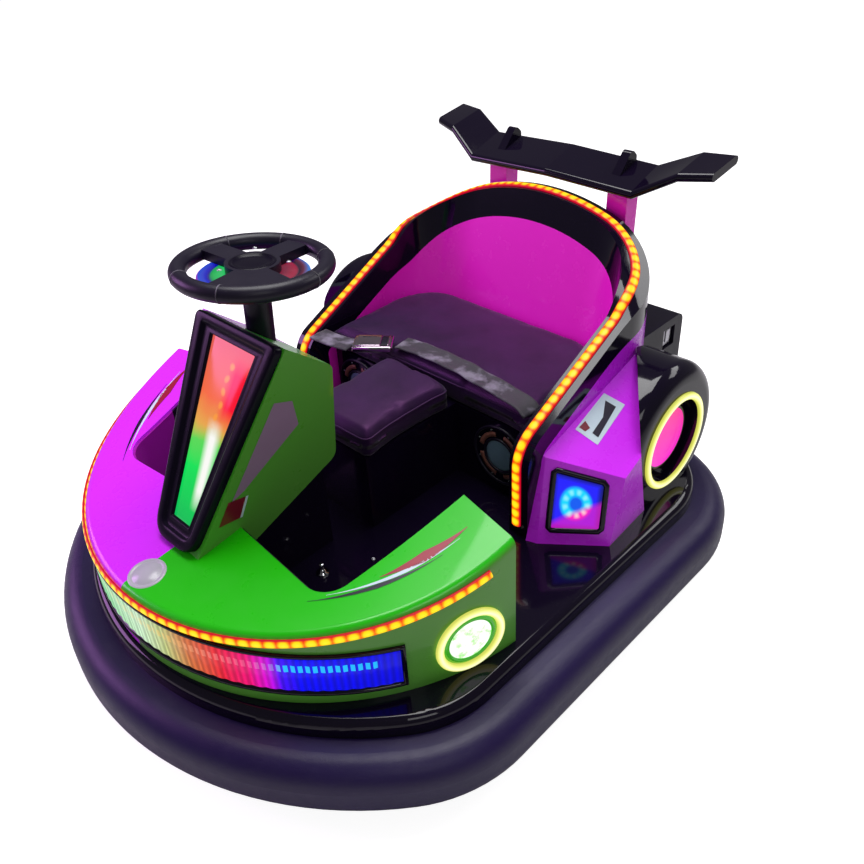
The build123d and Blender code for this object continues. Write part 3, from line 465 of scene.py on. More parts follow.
def surface_of(*shown):
    """What the surfaces of some objects answer to rays."""
    points, faces = [], []
    for thing in shown:
        base = len(points)
        points += [v.co.copy() for v in thing.data.vertices]
        faces += [[base + i for i in p.vertices] for p in thing.data.polygons]
    return BVHTree.FromPolygons(points, faces)


def plane_towards(towards, across):
    """The two directions of a drawing that is seen along towards."""
    first = (across - towards * across.dot(towards)).normalized()
    return first, first.cross(towards)


def decal(name, outline, surface, origin, towards, across, material, lift=0.0005, twin=False):
    """A thin printed shape laid on a surface. outline is points of (u, v) in metres on the drawing."""
    step = 0.006
    first, second = plane_towards(towards, across)
    flat = bmesh.new()
    flat.faces.new([flat.verts.new((u, v, 0)) for u, v in outline])
    for i, normal in enumerate((sideways, lengthwise)):
        low, high = min(p[i] for p in outline), max(p[i] for p in outline)
        for k in range(1, int((high - low) / step) + 1):
            parts = flat.verts[:] + flat.edges[:] + flat.faces[:]
            bmesh.ops.bisect_plane(flat, geom=parts, plane_co=normal * (low + k * step), plane_no=normal)
    uv = flat.loops.layers.uv.new("flow")
    for face in flat.faces:
        for loop in face.loops:
            loop[uv].uv = loop.vert.co.xy
    missed = []
    for vertex in flat.verts:
        start = origin + first * vertex.co.x + second * vertex.co.y
        hit, normal, _, _ = surface.ray_cast(start - towards * 0.3, towards, 0.6)
        if hit:
            vertex.co = hit + normal * lift * (1 if normal.dot(towards) < 0 else -1)
        else:
            missed.append(vertex)
    bmesh.ops.delete(flat, geom=missed, context="VERTS")
    faced(flat)
    if sum(f.normal.dot(towards) for f in flat.faces) > 0:
        bmesh.ops.reverse_faces(flat, faces=flat.faces)
    return piece(name, with_twin(flat) if twin else flat, material)


def seen_from(corners, origin, towards, across):
    """Points in space as an outline on the drawing."""
    first, second = plane_towards(towards, across)
    return [((p - origin).dot(first), (p - origin).dot(second)) for p in corners]


# ---- light strips

def strip_material(name, half_width):
    """A silicone strip with round lamps at an even pitch behind it and red edges."""
    m = Shade(name)
    flow = m.parts(m.coords("UV"))
    beat = m.math("FRACT", flow[0] * (1 / strip_pitch)) - 0.5
    across = flow[1] * (1 / strip_pitch)
    dots = m.ramp(
        m.math("SQRT", beat * beat + across * across), (0.0, 255, 236, 40), (0.3, 255, 220, 20),
        (0.4, 255, 168, 10), (0.52, 255, 84, 8), (0.66, 220, 10, 30),
    )
    rim = m.ramp(abs(flow[1]) * (1000 / half_width), (0.74, 0.0), (0.95, 1.0))
    m.set(Base_Color=rgb(60, 6, 6), Roughness=0.35, Specular_IOR_Level=0.2)
    m.glow(m.mix(rim, dots, rgb(196, 0, 36)), 1.1)


def strip_section(half_width):
    return dome_section(half_width / 1000, strip_proud / 1000)


strip_material("led_strip", strip_half_width)
strip_material("cowl_strip", cowl_strip_half_width)
strip_surface = surface_of(nodes["hoop_led_strip"])
reach_x = shell_half_width - strip_inset
aim_y, aim_z = 250, 380
edge_path = []


def find_strip(start, way, reach):
    """Keeps the place and facing where a ray meets the strip."""
    hit, normal, _, _ = strip_surface.ray_cast(start, way, reach)
    if hit:
        edge_path.append((hit, normal))


# The strip's foot and side are met from outside, its bend and back from above
for k in range(91):
    turn = radians(-strip_foot_turn + k * (strip_foot_turn + 90) / 90)
    away = Vector((0, -cos(turn), sin(turn)))
    find_strip(at(reach_x, aim_y, aim_z) + away * 0.6, -away, 0.7)
straight = hoop_back_y - hoop_turn_r - aim_y
bend = hoop_turn_r * pi / 2
for k in range(80):
    s = k / 79 * (straight + bend + reach_x - hoop_turn_r)
    if s < straight:
        x, y = reach_x, aim_y + s
    elif s < straight + bend:
        turn = (s - straight) / hoop_turn_r
        x = reach_x - hoop_turn_r * (1 - cos(turn))
        y = hoop_back_y - hoop_turn_r * (1 - sin(turn))
    else:
        x, y = reach_x - hoop_turn_r - (s - straight - bend), hoop_back_y
    find_strip(at(max(x, 0), y, 1000), down, 0.9)
half_path = [p for p, _ in edge_path]
mirrored_half = [Vector((-p.x, p.y, p.z)) for p in reversed(half_path)][1:]
whole = relaxed(even_steps(half_path + mirrored_half, 0.004), 6)


def outward(point):
    """Facing of the strip near a point, from both sides of the hoop."""
    mirror = Vector((abs(point.x), point.y, point.z))
    close = sorted(edge_path, key=lambda row: (row[0] - mirror).length_squared)[:5]
    total = sum((n for _, n in close), Vector())
    if point.x < 0:
        total.x = -total.x
    return total.normalized()


facing = relaxed([outward(p) for p in whole], 10)
whole = [p - n.normalized() * strip_proud / 1000 for p, n in zip(whole, facing)]
tube = piece("hoop_strip_tube", sweep(whole, facing, strip_section(strip_half_width)), "led_strip")
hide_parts("hoop_led_strip")


def arc_height(y, a, b, c):
    """Height at y on the arc through three points of (y, z)."""
    d = 2 * (a[0] * (b[1] - c[1]) + b[0] * (c[1] - a[1]) + c[0] * (a[1] - b[1]))
    squares = [p[0] ** 2 + p[1] ** 2 for p in (a, b, c)]
    uy = (squares[0] * (b[1] - c[1]) + squares[1] * (c[1] - a[1]) + squares[2] * (a[1] - b[1])) / d
    uz = (squares[0] * (c[0] - b[0]) + squares[1] * (a[0] - c[0]) + squares[2] * (b[0] - a[0])) / d
    reach = hypot(a[0] - uy, a[1] - uz)
    above = 1 if b[1] > uz else -1
    return uz + above * sqrt(max(reach ** 2 - (y - uy) ** 2, 0))


def on_fascia(angle, z, out):
    """Point on the cowl's fascia, and the way it faces there."""
    turn = radians(angle)
    away = Vector((sin(turn), -cos(turn), 0))
    return at(0, cowl_centre_y, z) + away * (cowl_r + out) / 1000, away


strip_heights = ((-576, 313), (-350, 340), (-159, 380))
strip_end = degrees(acos((cowl_centre_y + 179) / cowl_r))
path, facing = [], []
for k in range(241):
    angle = -strip_end + 2 * strip_end * k / 240
    y = cowl_centre_y - cowl_r * cos(radians(angle))
    point, away = on_fascia(angle, arc_height(y, *strip_heights), 0.3)
    path.append(point)
    facing.append(away)
strip = sweep(path, facing, strip_section(cowl_strip_half_width))
tube = piece("cowl_strip_tube", strip, "cowl_strip")
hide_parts("cowl_led_strip")


# ---- light bar

bar_end = 59
bar_ticks = 87
bar_columns = 480
bar_x = cowl_r * sin(radians(61))
bar_low = ((-bar_x, 214), (0, 224), (bar_x, 214))
bar_high = ((-bar_x, 286), (0, 300), (bar_x, 286))


def bar_edge(angle, arc):
    return arc_height(cowl_r * sin(radians(angle)), *arc)


def on_bar(share, level):
    """Point on the ribbed lens at a share of its length and of its height."""
    angle = -bar_end + 2 * bar_end * share
    low, high = bar_edge(angle, bar_low), bar_edge(angle, bar_high)
    rib = abs(sin(share * pi * bar_ticks / 2))
    edge_drop = 2.5 if level in (0.0, 1.0) else 0
    return on_fascia(angle, low + (high - low) * level, 3.2 + 1.6 * rib - edge_drop)[0]


m = Shade("bar_lens")
flow = m.parts(m.coords("UV"))
hue = m.ramp(
    flow[0], (0.0, 10, 190, 90), (0.3, 60, 220, 120), (0.54, 206, 240, 200),
    (0.6, 196, 206, 130), (0.65, 214, 120, 60), (0.71, 240, 36, 52), (0.76, 244, 6, 120),
    (0.79, 220, 0, 220), (0.81, 70, 0, 255), (0.84, 0, 0, 255), (1.0, 0, 0, 226),
)
stripes = m.math("SINE", flow[0] * (2 * pi * bar_ticks)) * 0.16 + 0.84
hue = m.mix(1.0, hue, m.ramp(stripes, (0.6, 0.55), (1.0, 1.0)), "MULTIPLY")
spots = m.math("PINGPONG", flow[0] * bar_ticks, 0.5) > 0.2
strength = m.ramp(flow[0], (0.3, 0.1), (0.6, 0.35), (0.8, 0.3), (0.815, 0.95), (0.962, 0.95), (0.966, 0.0))
lit = spots * (abs(flow[1] - 0.72) < 0.1) * strength
spot_colour = m.ramp(
    flow[0], (0.0, 240, 255, 240), (0.6, 255, 200, 90), (0.76, 255, 120, 170), (0.82, 20, 190, 255),
)
m.set(Base_Color=(0.02, 0.02, 0.04), Roughness=0.2, Specular_IOR_Level=0.15)
m.glow(m.mix(lit, hue, spot_colour), 1.05)
lens = sheet(shares(bar_columns), (0.0, 0.06, 0.5, 0.94, 1.0), on_bar)
bar = piece("bar_ribbed_lens", lens, "bar_lens")
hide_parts("light_bar_lens")


def bar_outline(margin, out, per_side=120):
    """The bar's outline on the fascia, moved outwards by margin."""
    reach = bar_end + margin * 0.12
    turns = [reach * (2 * t - 1) for t in shares(per_side)]
    upper = [on_fascia(t, bar_edge(t, bar_high) + margin, out)[0] for t in turns]
    lower = [on_fascia(t, bar_edge(t, bar_low) - margin, out)[0] for t in turns]
    return lower + upper[::-1]


rim = ((8.5, 0.2), (8.2, 4.6), (7.0, 5.8), (3.4, 5.8), (2.0, 4.8), (0.2, 1.2))
made = piece("bar_surround", between_loops([bar_outline(*step) for step in rim]), "black_gloss")
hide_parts("light_bar_bezel")


# ---- round lamps

m = Shade("halo_light")
across = abs(m.parts(m.coords("UV"))[1] * (1 / 0.008))
m.set(Base_Color=rgb(90, 90, 50), Roughness=0.3)
m.glow(m.ramp(across, (0.0, 255, 255, 214), (0.6, 244, 246, 130), (1.0, 186, 190, 60)))
lamp_spot, lamp_away = on_fascia(73, 254, 0.3)
halo_ring = ring_tube(lamp_spot, lamp_away, 0.056, dome_section(0.007, 0.0068))
made = piece("headlamp_rings", with_twin(halo_ring), "halo_light")
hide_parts("headlamp_halos")

m = Shade("lamp_lens")
m.set(Base_Color=rgb(60, 110, 50), Roughness=0.12)
m.glow(m.ramp(m.noise(60, 4), (0.3, 90, 226, 70), (0.4, 200, 255, 180), (0.5, 252, 255, 248)), 1.1)
lens_profile = ((0.0, 0.0029), (0.014, 0.0028), (0.028, 0.0022), (0.037, 0.0012), (0.0385, 0.0004))
made = piece("headlamp_glass", with_twin(lathe(lamp_spot, lamp_away, lens_profile)), "lamp_lens")
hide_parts("headlamp_lenses")
# The bowl's green glow is painted light from the lamp; the bowl is no lamp.
painted("lamp_bowl", rgb(70, 190, 40), 0.15, 0.5).glow(rgb(60, 170, 30), 0.35)
bowl_profile = ((0.0385, 0.0004), (0.040, 0.0026), (0.0445, 0.0029), (0.0462, 0.0012), (0.0488, 0.0003))
piece("headlamp_bowls", with_twin(lathe(lamp_spot, lamp_away, bowl_profile)), "lamp_bowl")

wheel_ring = ring_tube(at(452, 384, 304), sideways, 0.094, dome_section(0.0075, 0.0068), 128)
made = piece("mock_wheel_rings", with_twin(wheel_ring), "halo_light")
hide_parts("mock_wheel_halos")

m = Shade("hub_glow")
height = m.parts(m.coords())[2] * 6 - 1.3
fade = m.ramp(height, (0.1, 255, 0, 200), (0.55, 255, 0, 150), (0.95, 255, 30, 90))
m.set(Base_Color=rgb(120, 0, 90), Roughness=0.2)
m.glow(m.mix(m.noise(14, 3) * 0.35, fade, rgb(200, 0, 230)), 0.95)
hub_floor = at(426, 384, 304)
dish_profile = ((0.0, 0.0052), (0.02, 0.0052), (0.045, 0.0056), (0.058, 0.0064), (0.0625, 0.0085))
lip_profile = (dish_profile[-1], (0.0665, 0.0095), (0.0695, 0.0085), (0.0745, 0.0004))
dishes = with_twin(lathe(hub_floor, sideways, dish_profile))
made = piece("mock_wheel_dishes", dishes, "hub_glow")
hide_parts("mock_wheel_hubs")
piece("mock_wheel_lips", with_twin(lathe(hub_floor, sideways, lip_profile)), "black_gloss")


# ---- square lamps on the pods

corners = [at(*p) for p in ((355, 82, 187), (462, 164, 187), (447, 197, 325), (338, 124, 358))]
lamp_normal = (corners[1] - corners[0]).cross(corners[3] - corners[0]).normalized()
lamp_up = (up - lamp_normal * lamp_normal.z).normalized()
lamp_side = lamp_up.cross(lamp_normal)
lamp_outline = [corners[0] + lamp_up * 0.012, corners[1] + lamp_up * 0.012, corners[2], corners[3]]


def shrunk(margin):
    """The lamp's outline moved inwards by margin."""
    origin = lamp_outline[0]
    flat = [Vector(((p - origin).dot(lamp_side), (p - origin).dot(lamp_up))) for p in lamp_outline]
    result = []
    for i, point in enumerate(flat):
        a, b = (point - flat[i - 1]).normalized(), (flat[(i + 1) % len(flat)] - point).normalized()
        na, nb = Vector((-a.y, a.x)), Vector((-b.y, b.x))
        inner = point + (na + nb) * margin / (1 + na.dot(nb))
        result.append(origin + lamp_side * inner.x + lamp_up * inner.y)
    return result


m = Shade("pod_lens")
flow = m.parts(m.coords("UV"))
dx, dy = flow[0] - 0.47, flow[1] - 0.5
reach = m.math("SQRT", dx * dx + dy * dy)
off_ring = abs(reach - 0.235)
beads = m.math("COSINE", m.math("ARCTAN2", dy, dx) * 9) * 0.5 + 0.5
beads = beads * m.ramp(off_ring, (0.02, 1.0), (0.075, 0.0))
pink = m.ramp(dx * 0.5 - dy, (0.1, 0.0), (0.24, 1.0))
edge = m.ramp(m.math("MAXIMUM", abs(dx), abs(dy)), (0.4, 0.0), (0.5, 1.0))
ground = m.mix(m.ramp(reach, (0.1, 0.0), (0.4, 1.0)), rgb(0, 90, 240), rgb(30, 20, 255))
ground = m.mix(pink * 0.7, m.mix(edge, ground, rgb(10, 4, 130)), rgb(210, 0, 190))
arc = m.mix(pink, rgb(0, 214, 255), rgb(255, 0, 190))
colour = m.mix(m.ramp(off_ring, (0.05, 1.0), (0.13, 0.0)), ground, arc)
spark = m.mix(pink, rgb(150, 246, 255), rgb(255, 214, 214))
m.set(Base_Color=(0.01, 0.02, 0.08), Roughness=0.15, Specular_IOR_Level=0.2)
m.glow(m.mix(beads * 0.8, colour, spark))
glass = shrunk(0.0235)


def on_glass(u, v):
    """Point on the lamp's glass at a share of its width and of its height."""
    a, b, c, d = glass
    return a.lerp(d, v).lerp(b.lerp(c, v), u) + lamp_normal * 0.0021


made = piece("pod_lamp_glass", with_twin(sheet(shares(12), shares(12), on_glass)), "pod_lens")
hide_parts("pod_lamp_lenses")
corners = shrunk(0.018)
path = []
for a, b in zip(corners, corners[1:] + corners[:1]):
    run = b - a
    reach = run.length
    path += [a + run.normalized() * (0.006 + (reach - 0.012) * s / 8) + lamp_normal * 0.0004 for s in range(9)]
bezel = sweep(path, [lamp_normal] * len(path), dome_section(0.0058, 0.0046, 6), closed=True)
made = piece("pod_lamp_frames", with_twin(bezel), "black_gloss")
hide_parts("pod_lamp_bezels")


# ---- console display and its frame

# Places on the console's sloped front, in metres up from its foot, and half widths there
foot_y, foot_z, head_y, head_z = -466, 300, -239, 664
glass_foot, glass_head = 0.0885, 0.3985
glass_half_low, glass_half_high = 0.0257, 0.0597
slope = atan2(head_z - foot_z, head_y - foot_y)
panel_up = Vector((0, cos(slope), sin(slope)))
panel_out = Vector((0, -sin(slope), cos(slope)))


def on_panel(across, along, out):
    """A point on the console's front, raised by out."""
    return at(0, foot_y, foot_z) + sideways * across + panel_up * along + panel_out * out


def between(first, second, share):
    return first + (second - first) * share


def on_display(across, share):
    """Point on the domed display, from -1 to 1 across it and at a share of its height."""
    bulge = 0.0045 + 0.0012 * (1 - across ** 4) * (1 - (2 * share - 1) ** 8)
    reach = between(glass_half_low, glass_half_high, share)
    return on_panel(reach * across, between(glass_foot, glass_head, share), bulge)


m = Shade("display")
flow = m.parts(m.coords("UV"))
colour = m.ramp(
    flow[1] + (m.noise(9, 3) * 0.16 - 0.08), (0.0, 0, 190, 90), (0.3, 0, 230, 90), (0.45, 90, 220, 90),
    (0.56, 235, 170, 80), (0.7, 250, 110, 70), (0.98, 232, 96, 84),
)
red_height = m.ramp(flow[1], (0.55, 0.0), (0.68, 1.0), (0.86, 1.0), (0.96, 0.1))
colour = m.mix(m.ramp(flow[0], (0.1, 0.0), (0.45, 1.0)) * red_height, colour, rgb(255, 16, 48))
# A painted highlight: a broad white streak glowing across the lower middle of the display.
highlight_streak = m.ramp(abs(flow[0] - (flow[1] * -0.95 + 0.8)), (0.12, 1.0), (0.5, 0.0))
highlight_band = m.ramp(flow[1], (0.08, 0.0), (0.2, 1.0), (0.5, 1.0), (0.6, 0.0))
colour = m.mix(highlight_streak * highlight_band, colour, rgb(255, 255, 250))
dot_x = flow[0] - (m.math("SINE", flow[1] * 30) * 0.05 + 0.16)
dot_y = m.math("FRACT", flow[1] * 14) - 0.5
dots = m.ramp(dot_x * dot_x * 22 + dot_y * dot_y * 3, (0.05, 0.85), (0.4, 0.0))
dotted = dots * m.ramp(flow[1], (0.54, 0.0), (0.58, 1.0), (0.9, 1.0), (0.93, 0.0))
m.set(Base_Color=rgb(30, 14, 14), Roughness=0.1, Specular_IOR_Level=0.2)
m.glow(m.mix(dotted, colour, rgb(255, 160, 60)), 0.95)
display = sheet([2 * u - 1 for u in shares(12)], shares(24), on_display)
made = piece("display_glass", display, "display")
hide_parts("display_panel")


# ---- flashes on the cowl

def plain(name, colour, roughness=0.3):
    m = Shade(name)
    m.set(Base_Color=m.mix(m.noise(40, 5) * 0.25, colour, times(colour, 0.6)), Roughness=roughness)
    m.bump(m.noise(500, 3), 0.05)


plain("flash_red", rgb(150, 14, 52))
plain("flash_black", rgb(22, 12, 40))
plain("flash_pale", rgb(196, 214, 226))
plain("band_pale", rgb(150, 118, 150))
plain("band_maroon", rgb(120, 20, 40))
plain("nose_blank", rgb(176, 172, 184), 0.25)
plain("bronze_ring", rgb(128, 78, 70), 0.35)
plain("cover_blank", rgb(108, 132, 156), 0.4)


def blade(points, peak, place):
    """A flash along a line in plan, widest at the share of its length given by place."""
    left, right = [], []
    last = len(points) - 1
    for i, (x, y) in enumerate(points):
        ahead, behind = points[min(i + 1, last)], points[max(i - 1, 0)]
        run = Vector((ahead[0] - behind[0], ahead[1] - behind[1])).normalized()
        s = i / last
        width = max(peak * (s / place if s < place else (1 - s) / (1 - place)), 0.0004)
        left.append((x - run.y * width, y + run.x * width))
        right.append((x + run.y * width, y - run.x * width))
    return left + right[::-1]


for side, name in ((1, "left"), (-1, "right")):
    surface = surface_of(nodes[f"front_cowl_{name}"])
    for label, radius, start, end, peak, place in (
        ("black", 415, 42, 72, 0.004, 0.5),
        ("pale", 408, 46, 77, 0.0035, 0.55),
        ("red", 400, 58, 80, 0.01, 0.5),
    ):
        line = []
        for k in range(15):
            turn = radians(start + (end - start) * k / 14)
            spot = at(side * radius * sin(turn), cowl_centre_y - radius * cos(turn), 0)
            line.append((spot.x, spot.y))
        outline = blade(line, peak, place)
        decal(f"cowl_flash_{label}_{name}", outline, surface, up * 0.5, down, sideways, f"flash_{label}")


# ---- cushions, belt and buckle

def evaluated(thing):
    """An object as its modifiers leave it."""
    return thing.evaluated_get(bpy.context.evaluated_depsgraph_get())


def inflated(name, node_name, inset, free_edge, cap=0.008, voxel=0.008):
    """A cushion: the CAD block made a little smaller, blown up as cloth and held inside the block's space."""
    shape = bmesh.new()
    shape.from_mesh(nodes[node_name].data)
    low = Vector([min(v.co[i] for v in shape.verts) for i in range(3)])
    high = Vector([max(v.co[i] for v in shape.verts) for i in range(3)])
    middle = (low + high) / 2
    for vertex in shape.verts:
        for i in range(3):
            vertex.co[i] = middle[i] + (vertex.co[i] - middle[i]) * (1 - 2 * inset / (high[i] - low[i]))
    cushion = piece(name, shape, "vinyl")
    modifier = cushion.modifiers.new("even", "REMESH")
    modifier.mode = "VOXEL"
    modifier.voxel_size = voxel
    baked = bpy.data.meshes.new_from_object(evaluated(cushion))
    cushion.modifiers.clear()
    cushion.data = baked
    rest = [v.co.copy() for v in baked.vertices]
    cloth = cushion.modifiers.new("cloth", "CLOTH").settings
    cloth.use_pressure = True
    cloth.uniform_pressure_force = 4
    cloth.effector_weights.gravity = 0
    for step in range(1, 21):
        scene.frame_set(step)
    moved = [v.co.copy() for v in evaluated(cushion).to_mesh().vertices]
    cushion.modifiers.clear()
    scene.frame_set(1)
    for vertex, start, end in zip(baked.vertices, rest, moved):
        shift = end - start
        shift = shift * min(1, cap / max(shift.length, 1e-9))
        vertex.co = [min(max(c, a), b) for c, a, b in zip(start + shift, low, high)]
    for vertex in baked.vertices:
        u = (vertex.co.x - middle.x) / (high.x - middle.x)
        v = (vertex.co.y - middle.y) / (high.y - middle.y)
        if vertex.co.z > middle.z:
            vertex.co.z -= 0.012 * free_edge(vertex.co.x, u, v) ** 4
    for polygon in baked.polygons:
        polygon.use_smooth = True
    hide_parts(node_name)
    return surface_of(cushion), low, high


def piping(surface, low, high, level=0.398, radius=0.0018):
    """A welt round a cushion at one height, found by rays from outside."""
    middle = (low + high) / 2
    path = []
    for x, y in circle_section(1, 160):
        away = Vector((x * (high.x - low.x), y * (high.y - low.y), 0)).normalized()
        hit, _, _, _ = surface.ray_cast(Vector((middle.x, middle.y, level)) + away * 0.5, -away, 0.6)
        if hit:
            path.append(hit + away * radius * 0.2)
    return sweep(path, [up] * len(path), circle_section(radius), closed=True)


def bench_edge(x, u, v):
    """How near a point is to the bench's free edges: all but the part of the front that meets the saddle."""
    return max(abs(u), v, -v if abs(x) > 0.1 else 0)


def saddle_edge(_, u, v):
    """How near a point is to the saddle's free edges: its sides and its front."""
    return max(abs(u), -v)


bench = inflated("bench_pad", "bench_cushion", 0.004, bench_edge)
bench_welt = piping(*bench)
saddle = inflated("saddle_pad", "saddle_cushion", 0.003, saddle_edge)
made = piece("seat_welts", joined(bench_welt, piping(*saddle)), "vinyl")


def smooth_path(points, steps=14):
    """A curve through plan points, as points in plan."""
    ends = [points[0]] + list(points) + [points[-1]]
    found = []
    for a, b, c, d in zip(ends, ends[1:], ends[2:], ends[3:]):
        for k in range(steps):
            t = k / steps
            found.append(tuple(
                q + ((r - p) * t + (2 * p - 5 * q + 4 * r - s) * t * t + (3 * q - p - 3 * r + s) * t ** 3) / 2
                for p, q, r, s in zip(a, b, c, d)
            ))
    return found + [points[-1]]


def on_seat(x, y):
    """Height of the cushions under a point given in metres."""
    hits = [surface.ray_cast(Vector((x, y, 0.6)), down, 0.4)[0] for surface in (bench[0], saddle[0])]
    return max([hit.z for hit in hits if hit] or [0.418])


def strap(points, half_width=0.023, thick=0.0034, turned=0.0012):
    """A belt laid over the cushions, with turned edges and a slight wave along it."""
    path = []
    for i, (x, y) in enumerate(smooth_path(points)):
        place = at(x, y, 0)
        wave = 0.0022 * sin(i * 0.45) ** 2
        path.append(Vector((place.x, place.y, on_seat(place.x, place.y) + 0.0012 + wave)))
    path = relaxed(even_steps(path, 0.006), 4)
    half = [
        (half_width, 0.0), (half_width + turned, thick * 0.5), (half_width, thick),
        (half_width * 0.82, thick * 1.15), (half_width * 0.74, thick * 0.9),
    ]
    section = half + [(0.0, thick * 1.25)] + [(-s, o) for s, o in reversed(half)]
    return sweep(path, [up] * len(path), section)


left_strap = strap(((272, 166), (130, 183), (-10, 187), (-86, 180)))
right_strap = strap(((-162, 108), (-215, 98), (-262, 97)))
made = piece("belt_webbing", joined(left_strap, right_strap), "webbing")
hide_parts("belt_straps")


def block(size, centre, soft, turn=0):
    """A box with rounded edges, turned about the vertical."""
    mesh = bmesh.new()
    bmesh.ops.create_cube(mesh, size=1)
    bmesh.ops.scale(mesh, vec=size, verts=mesh.verts)
    bmesh.ops.bevel(mesh, geom=mesh.edges[:], offset=soft, segments=3, profile=0.5, affect="EDGES")
    bmesh.ops.rotate(mesh, cent=(0, 0, 0), matrix=Matrix.Rotation(radians(turn), 3, "Z"), verts=mesh.verts)
    bmesh.ops.translate(mesh, vec=centre, verts=mesh.verts)
    return mesh


def buckle_part(size, x, y, z, soft):
    """A block on the buckle, placed from its middle along and across it."""
    turn = 38
    place = at(-124, 134, 429) + Matrix.Rotation(radians(turn), 3, "Z") @ Vector((x, y, z))
    return block(size, place, soft, turn)


buckle_case = joined(
    buckle_part((0.084, 0.054, 0.013), 0, 0, -0.0015, 0.004),
    buckle_part((0.052, 0.046, 0.004), -0.008, 0, 0.0062, 0.0018),
    buckle_part((0.004, 0.044, 0.006), 0.034, 0, 0.0052, 0.0015),
)
made = piece("buckle_case", buckle_case, "buckle_metal")
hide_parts("belt_buckle")
button = joined(
    buckle_part((0.014, 0.036, 0.004), 0.025, 0, 0.0052, 0.0012),
    buckle_part((0.030, 0.002, 0.0016), -0.008, 0.014, 0.0079, 0.0005),
    buckle_part((0.030, 0.002, 0.0016), -0.008, -0.014, 0.0079, 0.0005),
)
piece("buckle_button", button, "black_satin")


# ---- steering wheel

tilt = radians(wheel_tilt)
wheel_axis = Vector((0, sin(tilt), cos(tilt)))
wheel_middle = at(*wheel_centre)
wheel_face = wheel_middle + wheel_axis * 0.008
rim_r, tube_r = 0.116, 0.014


def wheel_spoke(bearing):
    """The way out from the wheel's middle at a bearing in degrees."""
    return sideways * cos(radians(bearing)) + wheel_axis.cross(sideways) * sin(radians(bearing))


seams, screws = [], []
seam_section = [(0.0011, -0.0004), (0.0008, 0.0006), (-0.0008, 0.0006), (-0.0011, -0.0004)]
for bearing in (14, 62, 118, 166, 252, 300):
    spoke = wheel_spoke(bearing)
    out = [spoke * x + wheel_axis * y for x, y in circle_section(1, 28)]
    path = [wheel_middle + spoke * rim_r + way * tube_r for way in out]
    seams.append(sweep(path, out, seam_section, closed=True))
piece("wheel_seams", joined(*seams), "webbing", "steering")
cap_profile = (
    (0.0, -0.0012), (0.02, -0.0016), (0.0305, -0.0024), (0.0325, 0.0004), (0.035, 0.0009), (0.0375, 0.0004),
    (0.0382, -0.0006),
)
piece("wheel_cap", lathe(wheel_face, wheel_axis, cap_profile), "border_black", "steering")
screw_profile = ((0.0, 0.0004), (0.0012, 0.0018), (0.0032, 0.0016), (0.0038, 0.0002))
for bearing in (40, 140, 265):
    screws.append(lathe(wheel_face + wheel_spoke(bearing) * 0.058, wheel_axis, screw_profile, 20))
piece("wheel_screws", joined(*screws), "zinc_steel", body="steering")

m = Shade("wheel_light")
place = m.parts(m.coords())
dx, dy = place[0] - wheel_middle.x, place[1] - wheel_middle.y
reach = m.math("SQRT", dx * dx + dy * dy)
green = m.ramp(
    reach, (0.05, 10, 235, 110), (0.066, 6, 210, 90), (0.068, 6, 6, 60),
    (0.074, 10, 10, 230), (0.086, 20, 90, 255), (0.0885, 220, 40, 230),
)
red = m.ramp(
    reach, (0.05, 150, 0, 50), (0.066, 200, 0, 60), (0.07, 30, 0, 30),
    (0.08, 130, 10, 60), (0.086, 70, 150, 255),
)
m.set(Base_Color=(0.02, 0.02, 0.03), Roughness=0.25)
m.glow(m.mix(m.ramp(dx * 14 + 0.5, (0.35, 0.0), (0.65, 1.0)), green, red), 0.6)
profile = (
    (0.0236, 0.0), (0.0236, 0.0076), (0.05, 0.0078), (0.066, 0.0072), (0.068, 0.005), (0.073, 0.005),
    (0.075, 0.0074), (0.086, 0.0072), (0.0896, 0.0045), (0.0896, 0.001), (0.087, 0.0), (0.0236, 0.0),
)
lamp_ring = lathe(wheel_middle - wheel_axis * 0.0161, wheel_axis, profile, 96)
made = piece("wheel_lamp", lamp_ring, "wheel_light", body="steering")
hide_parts("wheel_light_disc")


# ---- small fittings

def screw_head(place, axis, radius=0.004):
    """A pan head with a socket."""
    shape = ((0, 0.3), (0.4, 0.3), (0.45, 1.0), (0.85, 0.8), (1.0, 0.0))
    return lathe(place, axis, [(radius * r, radius * 0.45 * rise) for r, rise in shape], 16)


def beside(centre, bearing, radius):
    """A point round a cover's middle."""
    return centre + Vector((cos(radians(bearing)), 0, sin(radians(bearing)))) * radius


# Round service covers on the pedestal
hit, _, _, _ = surface_of(nodes["seat_pedestal"]).ray_cast(at(205, -40, 282), lengthwise, 0.4)
rings, segments, blanks, heads = [], [], [], []
outer_ring = ((0.0612, -0.0003), (0.0618, 0.0028), (0.0642, 0.0034), (0.0666, 0.0028), (0.0674, -0.0003))
inner_ring = ((0.0345, -0.0003), (0.035, 0.0034), (0.0374, 0.004), (0.0398, 0.0034), (0.0402, -0.0003))
blank_profile = ((0.0, 0.0022), (0.03, 0.0022), (0.0335, 0.0018), (0.034, -0.0003))
segment_section = [(0.0052, 0.0), (0.005, 0.0022), (-0.005, 0.0022), (-0.0052, 0.0)]
for side in (1, -1):
    centre = Vector((side * 0.205, hit.y, 0.282))
    rings.append(lathe(centre, -lengthwise, outer_ring, 72))
    rings.append(lathe(centre, -lengthwise, inner_ring, 72))
    blanks.append(lathe(centre, -lengthwise, blank_profile, 48))
    for quarter in range(4):
        path = [beside(centre, 90 * quarter + 12 + 66 * k / 12, 0.048) for k in range(13)]
        segments.append(sweep(path, [-lengthwise] * 13, segment_section))
    heads += [screw_head(beside(centre, 22.5 + 45 * k, 0.0575), -lengthwise, 0.0022) for k in range(8)]
piece("cover_rings", joined(*rings), "black_satin")
piece("cover_segments", joined(*segments), "bronze_ring")
piece("cover_blanks", joined(*blanks), "cover_blank")

